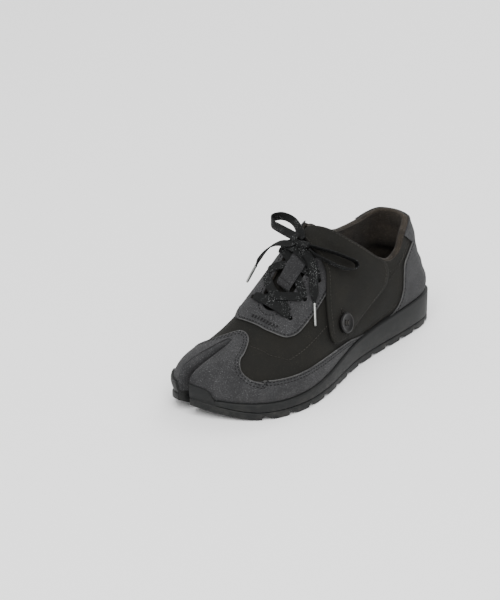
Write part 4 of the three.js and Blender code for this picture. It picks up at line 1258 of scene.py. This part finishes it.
@dataclass
class Studio:
    """Pale floor and soft light."""

    floor_m: float = 30.0
    lights: tuple = (
        ("key", (0.8, -1.2, 2.4), 2.2, 85.0),
        ("fill", (2.2, -0.6, 1.8), 2.4, 24.0),
        ("rear", (-0.6, 2.4, 2.1), 2.2, 50.0),
    )

    def build(self) -> None:
        """Adds the floor, the lights and the world."""
        mesh = bpy.data.meshes.new("floor")
        f = self.floor_m / 2
        mesh.from_pydata([(-f, -f, 0), (f, -f, 0), (f, f, 0), (-f, f, 0)], [], [(0, 1, 2, 3)])
        floor = bpy.data.objects.new("floor", mesh)
        bpy.context.scene.collection.objects.link(floor)
        material = bpy.data.materials.new("floor")
        material.use_nodes = True
        shader = material.node_tree.nodes["Principled BSDF"]
        shader.inputs["Base Color"].default_value = (0.93, 0.93, 0.93, 1)
        shader.inputs["Roughness"].default_value = 0.8
        mesh.materials.append(material)
        for name, place, size, power in self.lights:
            data = bpy.data.lights.new(name, "AREA")
            data.size, data.energy = size, power
            lamp = bpy.data.objects.new(name, data)
            lamp.location = place
            lamp.rotation_euler = (-Vector(place)).to_track_quat("-Z", "Y").to_euler()
            bpy.context.scene.collection.objects.link(lamp)
        world = bpy.data.worlds.new("studio")
        world.use_nodes = True
        world.node_tree.nodes["Background"].inputs["Color"].default_value = (1.0, 1.0, 1.0, 1)
        world.node_tree.nodes["Background"].inputs["Strength"].default_value = 1.0
        bpy.context.scene.world = world


@dataclass
class CordPiece:
    """One piece of the bow: a flat lace along its own route."""

    name: str
    route: tuple
    wide: tuple
    node: str
    tip_node: str = ""
    far_end: str = "object"
    lay: str = "loose"


KNOT = {"width": 11.0, "depth": 8.4, "height": 6.0, "place": (-0.8, -11.4, 112.7), "turn": 0.3}
BOW = (
    CordPiece("bow_loop_lateral",
              ((3.4, -8.6, 112), (5.8, -6.7, 111.2), (11.1, -2.8, 109.1), (19, 5.8, 104.9),
               (25.3, 15.2, 98.9), (28.9, 21.5, 94.0), (31.2, 20.0, 90.4), (29.4, 14.3, 90),
               (25.1, 5, 94.3), (16.8, -4.4, 101.4), (9, -9.3, 106.2), (4.6, -10.4, 109.4)),
              ((0.5, -0.5, 0.7), (0.8, -0.3, 0.5), (0.5, -0.5, 0.7)), "lace_loop_lateral"),
    CordPiece("bow_loop_medial",
              ((-4.4, -7.4, 115.4), (-10.6, -3.4, 118), (-22.2, 3.7, 121), (-32.9, 7.2, 121.5),
               (-41.5, 6.9, 121), (-45.4, 0.8, 119.8), (-40.6, -4.6, 118), (-32, -7, 117.7),
               (-18.4, -9.5, 117.3), (-6.8, -12, 117.4)),
              ((0, 0.78, 0.62), (0, 0, 1), (0, 0.78, 0.62)), "lace_loop_medial"),
    CordPiece("bow_end_front",
              ((0.4, -12.6, 110.4), (3.1, -13.7, 107.4), (5.9, -13.2, 104.9), (9.1, -13.2, 100.5),
               (12.9, -15.1, 93.2), (17.9, -19.8, 81.8), (23.1, -25.3, 71.8)),
              ((0.6, 0.8, 0), (0.6, 0.8, 0), (0.6, 0.8, 0)), "lace_end_front",
              "lace_tip_front", "fitting", "hanging"),
    CordPiece("bow_end_medial",
              ((-5.6, -11.0, 112.9), (-9.4, -11.4, 112.6), (-15.5, -14.6, 110.6),
               (-22, -15.8, 109.4), (-27.5, -17, 106.8), (-33, -18.5, 102.4), (-39, -21, 94.1),
               (-43, -22.6, 85.5)),
              ((0, 0.78, 0.62), (0, 1, 0.2), (0, 1, 0)), "lace_end_medial",
              "lace_tip_medial", "fitting", "hanging"),
)


@dataclass
class Bow:
    """Knot, loops and ends of the tied lace, and their metal tips."""

    pieces: tuple = BOW
    taper: float = 9.0
    tuck: float = 4.0

    def build(self, dresser: Dresser) -> None:
        """Builds every piece of the bow."""
        knot = self.knot(dresser)
        for k, cord in enumerate(self.pieces):
            line = resample(spline(cord.route, 160), 1.0)
            tips = []
            if cord.tip_node:
                ahead = unit(np.subtract(cord.route[-1], cord.route[-2]))
                tips = [self.tip(cord, ahead, dresser)]
                line = np.vstack([line, line[-1] + ahead * self.tuck / 2,
                                  line[-1] + ahead * self.tuck])
            wide = spline(cord.wide, len(line) - 1)
            way = np.linalg.norm(np.diff(line, axis=0), axis=1)
            left = np.concatenate([np.cumsum(way[::-1])[::-1], [0]])
            narrow = np.ones(len(line))
            thick = np.ones(len(line))
            if cord.tip_node:
                narrow = mix(TIP_WIDTH * 0.8 / LACE_WIDTH, 1.0,
                             ease((left - self.tuck) / self.taper))
                thick = mix(1.5, 1.0, ease((left - self.tuck) / self.taper))
            start = ease(np.arange(len(line)) / 7)
            narrow = narrow * mix(0.55, 1.0, start)
            scale = np.stack([narrow, thick], axis=1)
            body = Tube.sweep(cord.name, line, wide, lace_section(), scale)
            piece = dresser.dress(body, "lace", cord.node, angle=60)

    def tip(self, cord: CordPiece, ahead: np.ndarray, dresser: Dresser) -> bpy.types.Object:
        """Metal sleeve at the end of a lace, crimped once."""
        start = np.array(cord.route[-1], float)
        stops = [(0.0, 1.0), (0.25, 1.1), (1.2, 1.1), (1.6, 1.0), (2.6, 0.86), (3.4, 1.0),
                 (TIP_LENGTH - 1.2, 1.0), (TIP_LENGTH - 0.4, 0.9), (TIP_LENGTH, 0.6)]
        points = np.array([start + ahead * (CLEARANCE + s) for s, _ in stops])
        scale = np.array([(r, r) for _, r in stops])
        a = np.linspace(0, 2 * math.pi, 20, endpoint=False)
        ring = np.stack([np.cos(a), np.sin(a)], axis=1) * TIP_WIDTH / 2
        wide = np.tile(unit(np.cross(ahead, (0, 0, 1))), (len(points), 1))
        body = Tube.sweep(cord.name.replace("end", "tip"), points, wide, ring, scale)
        return dresser.dress(body, "tip", cord.tip_node, angle=50)

    def knot(self, dresser: Dresser) -> bpy.types.Object:
        """Wrap of the flat lace round the knot's core."""
        centre = np.array(KNOT["place"])
        rings = []
        for a in np.linspace(0.12, math.pi - 0.12, 26):
            ring = []
            for b in np.linspace(0, 2 * math.pi, 36, endpoint=False):
                fold = 1 + 0.05 * math.sin(3 * b + 5 * a) - 0.10 * math.exp(-((a - 1.15) / 0.16) ** 2)
                fold -= 0.09 * math.exp(-((a - 2.05) / 0.14) ** 2)
                x = -math.cos(a) * KNOT["width"] / 2
                r = math.sin(a) ** 0.6 * fold
                ring.append((x, r * math.cos(b) * KNOT["depth"] / 2,
                             r * math.sin(b) * KNOT["height"] / 2))
            rings.append(ring)
        c, s = math.cos(KNOT["turn"]), math.sin(KNOT["turn"])
        turn = np.array([[c, -s, 0], [s, c, 0], [0, 0, 1]])
        rings = np.array(rings) @ turn.T + centre
        body = Solid.loft("bow_knot", rings, True)
        body.object.data.uv_layers.new(name="weave")
        return dresser.dress(body, "lace", "lace_knot", angle=60)


@dataclass
class Lacing:
    """Lace over the throat, through the eyelets."""

    level: float = TOE_SKIN + 0.3 + LACE_THICKNESS / 2
    hole_width: float = 5.4

    def build(self, dresser: Dresser) -> None:
        """Builds each run and joins them into one piece."""
        made = []
        for run in LACE_RUNS:
            p = resample(spline(run, 60), 0.8)
            line = LAST.over_plan(p[:, 0], p[:, 1], self.level + p[:, 2])
            up = unit(LAST.over_plan(p[:, 0], p[:, 1], self.level + p[:, 2] + 1) - line)
            narrow = np.ones(len(line))
            for end, order in ((0, slice(None)), (-1, slice(None, None, -1))):
                if abs(run[end][0] - THROAT_CENTRE) < EYELET_SPREAD / 2 - 0.5:
                    continue
                way = np.linalg.norm(line - line[end], axis=1)
                dip = 1 - ease(way / 4.2)
                line = line - up * (dip * 3.4)[:, None]
                narrow = np.minimum(narrow, mix(1.0, self.hole_width / LACE_WIDTH,
                                                1 - ease((way - 0.6) / 6.5)))
            wide = np.cross(directions(line), up)
            scale = np.stack([narrow, mix(1.25, 1.0, ease((narrow - 0.5) / 0.5))], axis=1)
            made.append(Tube.sweep("lace_runs", line, wide, lace_section(), scale))
        body = made[0]
        with_all = {"active_object": body.object,
                    "selected_editable_objects": [m.object for m in made]}
        with bpy.context.temp_override(**with_all):
            bpy.ops.object.join()
        for other in made[1:]:
            Solid.scratch = [o for o in Solid.scratch if o is not other.object]
        dresser.dress(body, "lace", "lace_bars", angle=60)


@dataclass
class Sole:
    """Outsole with its lugs and toe rubber, midsole and foot bed."""

    cutters: Cutters

    def build(self, dresser: Dresser) -> None:
        """Builds the three layers."""
        split = self.cutters.split(0)
        sole_split = self.cutters.sole_split(0)
        body = LAST.layer("outsole_rubber", 0, lambda r: toe_spring(along(LAST.column("at", r))),
                          plate_top)
        for i in range(LUG_COUNT):
            start = FIRST_LUG + i * LUG_PITCH + LUG_FLAT / 2
            end = start + LUG_PITCH - LUG_FLAT
            low = float(toe_spring(end))
            body.cut(Solid.prism("groove", [(start, -1), (start + 0.6, low + LUG_HEIGHT),
                                            (start + 2.6, low + LUG_HEIGHT), (end - 1, low),
                                            (end, -1)], View.SIDE, -FAR, FAR))
        bumper = LAST.form("bumper", TOE_SKIN + CLEARANCE + BUMPER_WALL, SOLE_HEIGHT / 2)
        bumper.cut(LAST.form("inner", TOE_SKIN + CLEARANCE, SOLE_HEIGHT))
        bumper.keep(self.cutters.bumper(0))
        bumper.cut(LAST.below("plate", lambda r: plate_top(r) - EDGE_ROUND))
        body.join(bumper).cut(sole_split, split)
        dresser.dress(body, "rubber", "outsole")

        middle = LAST.layer("midsole_rubber", 0, lambda r: plate_top(r) + CLEARANCE, foot_height)
        region = self.cutters.bumper(CLEARANCE)
        region.cut(LAST.form("inner", TOE_SKIN, SOLE_HEIGHT))
        middle.cut(region, sole_split)
        dresser.dress(middle, "rubber", "midsole")

        inset = LEDGE + TUCK + WALL + INSOLE_PLAY
        bed = LAST.layer("foot_bed", inset, lambda r: foot_height(r) + CLEARANCE,
                         lambda r: foot_height(r) + CLEARANCE + INSOLE_THICKNESS)
        bed.cut(self.cutters.split(SLOT_SKIN + WALL + INSOLE_PLAY))
        dresser.dress(bed, "lining", "insole")


@dataclass
class Upper:
    """Hollow leather body with its panels, seams and collar roll."""

    cutters: Cutters
    stitching: Stitching = field(default_factory=Stitching)
    panel: Stitching = field(default_factory=lambda: Stitching(2.0, 1.1, 0.34))
    edge_radius: float = 0.55

    def build(self, dresser: Dresser) -> None:
        """Builds the body, the panels and what is sewn on them."""
        collar, throat = self.cutters.collar(), self.cutters.throat()
        below = LAST.below("foot", lambda r: foot_height(r) + CLEARANCE)
        holes = self.cutters.eyelets()
        cavity = LAST.form("cavity", lambda p: -WALL - self.padding(p), 12)
        cavity.cut(self.cutters.split(SLOT_SKIN + WALL))
        body = LAST.form("upper_leather", 0).cut(self.cutters.split(SLOT_SKIN), cavity, collar,
                                                 throat, below, *holes)
        outer = LAST.form("outer", 0)
        skin = BVHTree.FromPolygons([v.co for v in outer.object.data.vertices],
                                    [p.vertices for p in outer.object.data.polygons])
        dresser.dress(body, "nubuck", "upper", inside="lining", skin=skin)

        toe = LAST.form("toe_suede", TOE_SKIN).cut(self.cutters.split(0))
        inner = LAST.form("inner", CLEARANCE, 8).cut(self.cutters.split(OVERLAY))
        toe.cut(inner, below).keep(self.cutters.toe())
        dresser.dress(toe, "suede", "toe_overlay")
        for name, region, node in (("eyestay_suede", self.cutters.eyestay(), "eyestay"),
                                   ("counter_suede", self.cutters.counter(), "heel_counter"),
                                   ("tab_suede", self.cutters.tab(), "heel_tab")):
            panel = LAST.form(name, TOE_SKIN).cut(LAST.form("inner", CLEARANCE, 8), below, collar,
                                                  throat).keep(region)
            if node == "eyestay":
                panel.cut(*holes)
            dresser.dress(panel, "suede", node)
        self.collar_roll(dresser)
        self.seams(dresser)

    @staticmethod
    def padding(p: np.ndarray) -> np.ndarray:
        """Thickness of the collar's padding at points of the last."""
        return COLLAR_PAD * ease((p[..., 2] - 55) / 16) * ease((p[..., 1] - 26) / 16)

    def rim(self, offset, lower: float = 0.0) -> np.ndarray:
        """Line round the collar, from the lateral throat corner to the medial one.

        Args:
            offset: Distance over the last.
            lower: How far the line runs below the collar's edge.

        Returns:
            Its points.
        """
        halves = []
        rows = np.concatenate([np.linspace(9.75, 13.0, 50), np.linspace(13.05, LAST_ROW, 60)])
        for side, column in ((Side.LATERAL, 1), (Side.MEDIAL, 2)):
            line = spline([(along(r[0]), r[column] * COLLAR_HEIGHT) for r in COLLAR_LINE], 90)
            low, high = np.full(len(rows), 0.02), np.full(len(rows), 0.5)
            for _ in range(30):
                middle = (low + high) / 2
                turn = middle if side is Side.LATERAL else 1 - middle
                p = LAST.point(rows, turn)
                above = p[:, 2] > np.interp(p[:, 1], line[:, 0], line[:, 1]) - lower
                high, low = np.where(above, middle, high), np.where(above, low, middle)
            turn = low if side is Side.LATERAL else 1 - low
            halves.append(LAST.over(rows, turn, offset))
        return np.vstack([halves[0], halves[1][-2::-1]])

    def collar_roll(self, dresser: Dresser) -> None:
        """Padded roll of lining on the collar's rim."""
        outer, inner = self.rim(-1.6), self.rim(-WALL - 3.4)
        middle = resample((outer + inner) / 2, 2.0)
        wide = resample(outer, 2.0)
        count = len(middle)
        share = np.linspace(0, 1, count)
        wide = np.stack([np.interp(share, np.linspace(0, 1, len(outer)), (outer - inner)[:, k])
                         for k in range(3)], axis=1)
        a = np.linspace(0, 2 * math.pi, 16, endpoint=False)
        section = np.stack([np.cos(a) * 2.5, np.sin(a) * 2.0], axis=1)
        ends = ease(np.minimum(share, 1 - share) / 0.05)
        scale = np.stack([mix(0.35, 1, ends), mix(0.35, 1, ends)], axis=1)
        roll = Tube.sweep("collar_roll", middle, wide, section, scale)
        piece = dresser.dress(roll, "lining", angle=60)

    def seams(self, dresser: Dresser) -> None:
        """Stitch rows and cut edges of the panels."""
        skin, base = Skin(TOE_SKIN), Skin(0.0)
        lateral = spline([(along(a), h * COLLAR_HEIGHT) for a, h in TOE_BAND_LATERAL], 60)
        medial = spline([(along(a), h * COLLAR_HEIGHT) for a, h in TOE_BAND_MEDIAL], 50)
        toe = spline([(along(a), x * HALF) for a, x in TOE_EDGE], 90)
        outline = np.vstack([
            LAST.over_side(lateral[::-1, 0], lateral[::-1, 1], Side.LATERAL, TOE_SKIN),
            LAST.over_plan(toe[1:-1, 1], toe[1:-1, 0], TOE_SKIN),
            LAST.over_side(medial[:, 0], medial[:, 1], Side.MEDIAL, TOE_SKIN)])
        stay_l = spline([(along(a), x * HALF) for a, x in EYESTAY_LATERAL], 60)
        stay_m = spline([(along(a), h * COLLAR_HEIGHT) for a, h in EYESTAY_MEDIAL], 50)
        stay = np.vstack([
            LAST.over_side(stay_m[::-1, 0], stay_m[::-1, 1], Side.MEDIAL, TOE_SKIN),
            LAST.over_plan(stay_l[:, 1], stay_l[:, 0], TOE_SKIN)])
        counter = spline([(along(a), h * COLLAR_HEIGHT) for a, h in COUNTER_EDGE], 50)
        counter_l = LAST.over_side(counter[::-1, 0], counter[::-1, 1], Side.LATERAL, TOE_SKIN)
        counter_m = LAST.over_side(counter[:, 0], counter[:, 1], Side.MEDIAL, TOE_SKIN)
        edges = []
        for line, insets in ((outline, (1.6, 3.8)), (stay, (1.8,)), (counter_l, (1.8,)),
                             (counter_m, (1.8,))):
            edges.append(skin.inset(line, 0.15)[0])
            for inset in insets:
                self.panel.row(*skin.inset(line, inset))
        self.throat_seam(skin)
        for inset in (5.0, 6.0, 7.0):
            places, normals = skin.inset(stay, inset)
            front = (places[:, 1] < -54) & (places[:, 0] > -15) & (places[:, 0] < 13)
            self.panel.row(places[front], normals[front], 0.2)
        vamp = spline([(2.8, -82.3, 47.8), (14.5, -79.7, 46.1), (21.1, -78.6, 44.2),
                       (29.8, -72.6, 42.1), (33.8, -68.6, 40.9), (36.3, -52.8, 44.6),
                       (36.1, -29.9, 51.2), (35.3, -19.9, 53.5)], 60)
        quarter = spline([(28.7, 65.9, 61.6), (27.5, 78, 68), (25.5, 92, 77), (24.4, 101.6, 82.9)], 30)
        lower = spline([(30.2, 85.8, 42.5), (33, 70, 34), (33, 52, 29), (29.8, 35.8, 25.7)], 30)
        band = self.rim(0.0, 9.0)
        for line in (vamp, quarter, lower, band):
            self.stitching.row(*base.inset(line, 0.0))
        inside = quarter * np.array([-1, 1, 1]) + np.array([2 * THROAT_CENTRE * 0.4, 0, 0])
        self.stitching.row(*base.inset(inside, 0.0))
        dresser.dress(self.stitching.solid("dark_stitches"), "thread", angle=80)
        dresser.dress(self.panel.solid("panel_stitches"), "panel_thread", angle=80)
        # These suede panel edges take the lighter edge finish, which is partly a painted highlight.
        for k, line in enumerate(edges):
            self.edge_cord(f"panel_edge_{k}", line, skin, dresser, "edge")
        for name, line in (("vamp_edge", vamp), ("quarter_edge", quarter), ("lower_edge", lower)):
            self.edge_cord(name, base.inset(line, 1.3)[0], base, dresser, "nubuck")

    def throat_seam(self, skin: Skin) -> None:
        """Stitch row round the throat."""
        radius = THROAT_WIDTH / 2 + 2.0
        plan = [(THROAT_CENTRE + radius, -4.0), (THROAT_CENTRE + radius, THROAT_FRONT + radius - 2)]
        plan += [(THROAT_CENTRE + radius * math.cos(a),
                  THROAT_FRONT - 2 + radius * (1 + math.sin(a)))
                 for a in np.linspace(2 * math.pi, math.pi, 16)]
        plan += [(THROAT_CENTRE - radius, -4.0)]
        plan = resample(np.array(plan), 1.5)
        self.panel.row(*skin.drop(LAST.over_plan(plan[:, 0], plan[:, 1], TOE_SKIN)))

    def edge_cord(self, name: str, line: np.ndarray, skin: Skin, dresser: Dresser,
                  look: str) -> None:
        """Rounded cut edge of a panel."""
        line = resample(line, 1.6)
        places, normals = skin.drop(line)
        a = np.linspace(0, 2 * math.pi, 8, endpoint=False)
        section = np.stack([np.cos(a), np.sin(a)], axis=1) * self.edge_radius
        body = Tube.sweep(name, places - normals * 0.42, normals, section)
        dresser.dress(body, look, angle=80)


@dataclass
class Closures:
    """Tongue, keeper loop, flap and button."""

    flap_thickness: float = 2.0
    tongue_thickness: float = 3.5
    tongue_depth: float = 5.0
    keeper_width: float = 12.0
    keeper_shift: float = 2.0

    def build(self, dresser: Dresser) -> None:
        """Builds the four pieces."""
        tongue = dresser.dress(self.tongue(), "nubuck", "tongue", angle=60)
        dresser.dress(self.keeper(), "keeper", "tongue_loop", angle=50)
        keeper_thread = Stitching(1.6, 0.9, 0.32)
        x = np.linspace(-8.2, 1.8, 9)
        row = LAST.over_plan(x, -29.6, 4.6)
        keeper_thread.row(row, unit(LAST.over_plan(x, -29.6, 5.6) - row))
        dresser.dress(keeper_thread.solid("keeper_stitches"), "panel_thread", angle=80)
        flap, thread = self.flap()
        dresser.dress(flap, "nubuck", "flap", angle=50)
        dresser.dress(thread.solid("flap_stitches"), "thread", angle=80)
        dresser.dress(self.button(), "button", "flap_button", angle=35)
        dresser.dress(self.button_thread(), "thread", angle=80)

    @staticmethod
    def plate(name: str, top: np.ndarray, bottom: np.ndarray) -> Solid:
        """Closed plate between two grids of points."""
        return Solid.loft(name, np.concatenate([top, bottom[:, ::-1]], axis=1), True)

    def tongue(self) -> Solid:
        """Padded tongue with soft edges."""
        u, v = np.meshgrid(np.linspace(0, 1, 60), np.linspace(0, 1, 25), indexing="ij")
        corner = 1 - 0.35 * ease((u - 0.86) / 0.14) - 0.25 * ease((0.12 - u) / 0.12)
        x = -5.0 + 48 * corner * (0.5 - v)
        y = mix(-60.0, 8.0, u)
        soft = 1 - np.abs(2 * v - 1) ** 4
        top = LAST.over_plan(x, y, -self.tongue_depth - 0.8 + 0.8 * soft)
        low = LAST.over_plan(x, y, -self.tongue_depth - 0.8 - 0.8 - 1.9 * soft)
        return self.plate("tongue_leather", top, low)

    def keeper(self) -> Solid:
        """Strap on the tongue that holds the crossed lace."""
        rows = spline(KEEPER_ROWS, 60)
        v = np.linspace(0, 1, 17)
        x = THROAT_CENTRE + self.keeper_shift + self.keeper_width * (0.5 - v)
        crown = 0.25 * (1 - np.abs(2 * v - 1) ** 6)
        outer = np.array([LAST.over_plan(x, np.full_like(x, r[0]), r[1] + crown - 0.25)
                          for r in rows])
        inner = np.array([LAST.over_plan(x, np.full_like(x, r[2]), r[3]) for r in rows])
        return self.plate("keeper_strap", outer, inner)

    def flap_grid(self, u: np.ndarray, v: np.ndarray, side: float) -> np.ndarray:
        """Points of the flap's top (side 1) or underside (side 0)."""
        rows = spline(FLAP_ROWS, 400)
        at = np.clip(u, 0, 1) * 400
        get = [np.interp(at, np.arange(401), rows[:, k]) for k in range(5)]
        index, turn = mix(get[0], get[2], v), mix(get[1], get[3], v)
        rim = np.minimum(np.minimum(v, 1 - v) * 14, (1 - u) * 26)
        soft = 0.55 * (1 - np.sqrt(np.clip(rim, 0, 1) * (2 - np.clip(rim, 0, 1))))
        fold = 0.9 * np.exp(-((v - 0.42 - 0.15 * (u - 0.4)) / 0.10) ** 2) * ease((u - 0.25) / 0.1)
        fold *= 1 - ease((u - 0.5) / 0.15)
        wave = 0.35 * np.sin(7 * v + 3.2 * u) * ease((u - 0.3) / 0.2) * (1 - ease((u - 0.75) / 0.2))
        lift = get[4] + (self.flap_thickness - soft if side else soft * 0.3) - fold * 0.5 + wave
        return LAST.over(index, turn, lift)

    def flap(self) -> tuple[Solid, Stitching]:
        """Leather flap and its stitch row."""
        share = (1 - np.cos(np.linspace(0, math.pi, 41))) / 2
        u, v = np.meshgrid(np.linspace(0, 1, 130), mix(np.linspace(0, 1, 41), share, 0.6),
                           indexing="ij")
        flap = self.plate("flap_leather", self.flap_grid(u, v, 1), self.flap_grid(u, v, 0))
        place, ahead = self.button_place()
        flap.cut(Tube.rod("buttonhole", place - ahead * 6, place + ahead * 8, 2.8))
        up = LAST.over(BUTTON_SPOT[0], BUTTON_SPOT[1] + 0.02) - LAST.over(*BUTTON_SPOT)
        up = unit(up - ahead * np.dot(up, ahead))
        aside = np.cross(up, ahead)
        slit = [place + ahead * h + up * w + aside * s
                for h in (0.0, 7.0) for w, s in ((2, -0.45), (11.6, -0.3), (11.6, 0.3), (2, 0.45))]
        faces = [(0, 1, 2, 3), (7, 6, 5, 4), (0, 4, 5, 1), (1, 5, 6, 2), (2, 6, 7, 3), (3, 7, 4, 0)]
        flap.cut(Solid("slit", slit, faces))
        thread = Stitching(2.3, 0.9, 0.32)
        path = [(0.22, 0.10), (0.5, 0.06), (0.80, 0.08), (0.93, 0.14), (0.962, 0.3), (0.965, 0.5),
                (0.955, 0.75), (0.92, 0.90), (0.80, 0.945), (0.5, 0.95), (0.22, 0.90)]
        path = spline(path, 160)
        line = self.flap_grid(path[:, 0], path[:, 1], 1)
        high = self.flap_grid(path[:, 0], path[:, 1], 1) - self.flap_grid(path[:, 0], path[:, 1], 0)
        thread.row(line, unit(high))
        row = [place + up * 12.4 + aside * s + ahead * 4.05 for s in (-1.2, 1.2)]
        thread.row(np.array(row), np.array([ahead, ahead]))
        return flap, thread

    @staticmethod
    def button_place() -> tuple[np.ndarray, np.ndarray]:
        """Place under the button and the direction in which it faces."""
        return LAST.point(*BUTTON_SPOT), LAST.normal(*BUTTON_SPOT)

    def button(self) -> Solid:
        """Four-hole button with a raised rim, on its thread stem."""
        place, ahead = self.button_place()
        low = 2.0 + self.flap_thickness + CLEARANCE
        high = low + 3.0
        r = 8.75
        profile = [(0.01, CLEARANCE), (1.7, CLEARANCE), (1.7, low), (r - 1.2, low),
                   (r - 0.5, low + 0.25), (r - 0.1, low + 0.8), (r, low + 1.3), (r, high - 0.9),
                   (r - 0.15, high - 0.4), (r - 0.6, high - 0.05), (r - 1.2, high),
                   (r - 1.8, high - 0.1), (r - 2.4, high - 0.5), (r - 3.2, high - 0.85),
                   (r - 4.5, high - 1.0), (0.01, high - 1.0)]
        aside = unit(np.cross(ahead, (0.0, 0.35, 0.94)))
        up = np.cross(ahead, aside)
        rings = [[place + ahead * z + (math.cos(a) * aside + math.sin(a) * up) * d
                  for a in np.linspace(0, 2 * math.pi, 56, endpoint=False)] for d, z in profile]
        button = Solid.loft("coat_button", np.array(rings), True)
        for sx, sy in ((1, 1), (1, -1), (-1, 1), (-1, -1)):
            at = place + aside * sx * 1.75 + up * sy * 1.75
            button.cut(Tube.rod("hole", at + ahead * (low + 0.6), at + ahead * (high + 1), 0.95))
        return button

    def button_thread(self) -> Solid:
        """Two bars of thread through the button's holes."""
        place, ahead = self.button_place()
        top = 2.0 + self.flap_thickness + CLEARANCE + 2.0
        aside = unit(np.cross(ahead, (0.0, 0.35, 0.94)))
        up = np.cross(ahead, aside)
        thread = Stitching(3.9, 0.0, 0.42)
        for sx in (-1.75, -1.35, 1.35, 1.75):
            thread.stitch(place + aside * sx + ahead * top, up, ahead, 0.12)
        return thread.solid("button_thread")


def main() -> None:
    """Builds the scene in order."""
    logging.basicConfig(level=logging.INFO, format="%(name)s: %(message)s")
    Camera().build()
    Studio().build()
    dresser = Dresser(Finishes())
    Bow().build(dresser)
    cutters = Cutters()
    Lacing().build(dresser)
    Sole(cutters).build(dresser)
    Upper(cutters).build(dresser)
    Closures().build(dresser)
    Solid.clear()


if __name__ == "__main__":
    main()
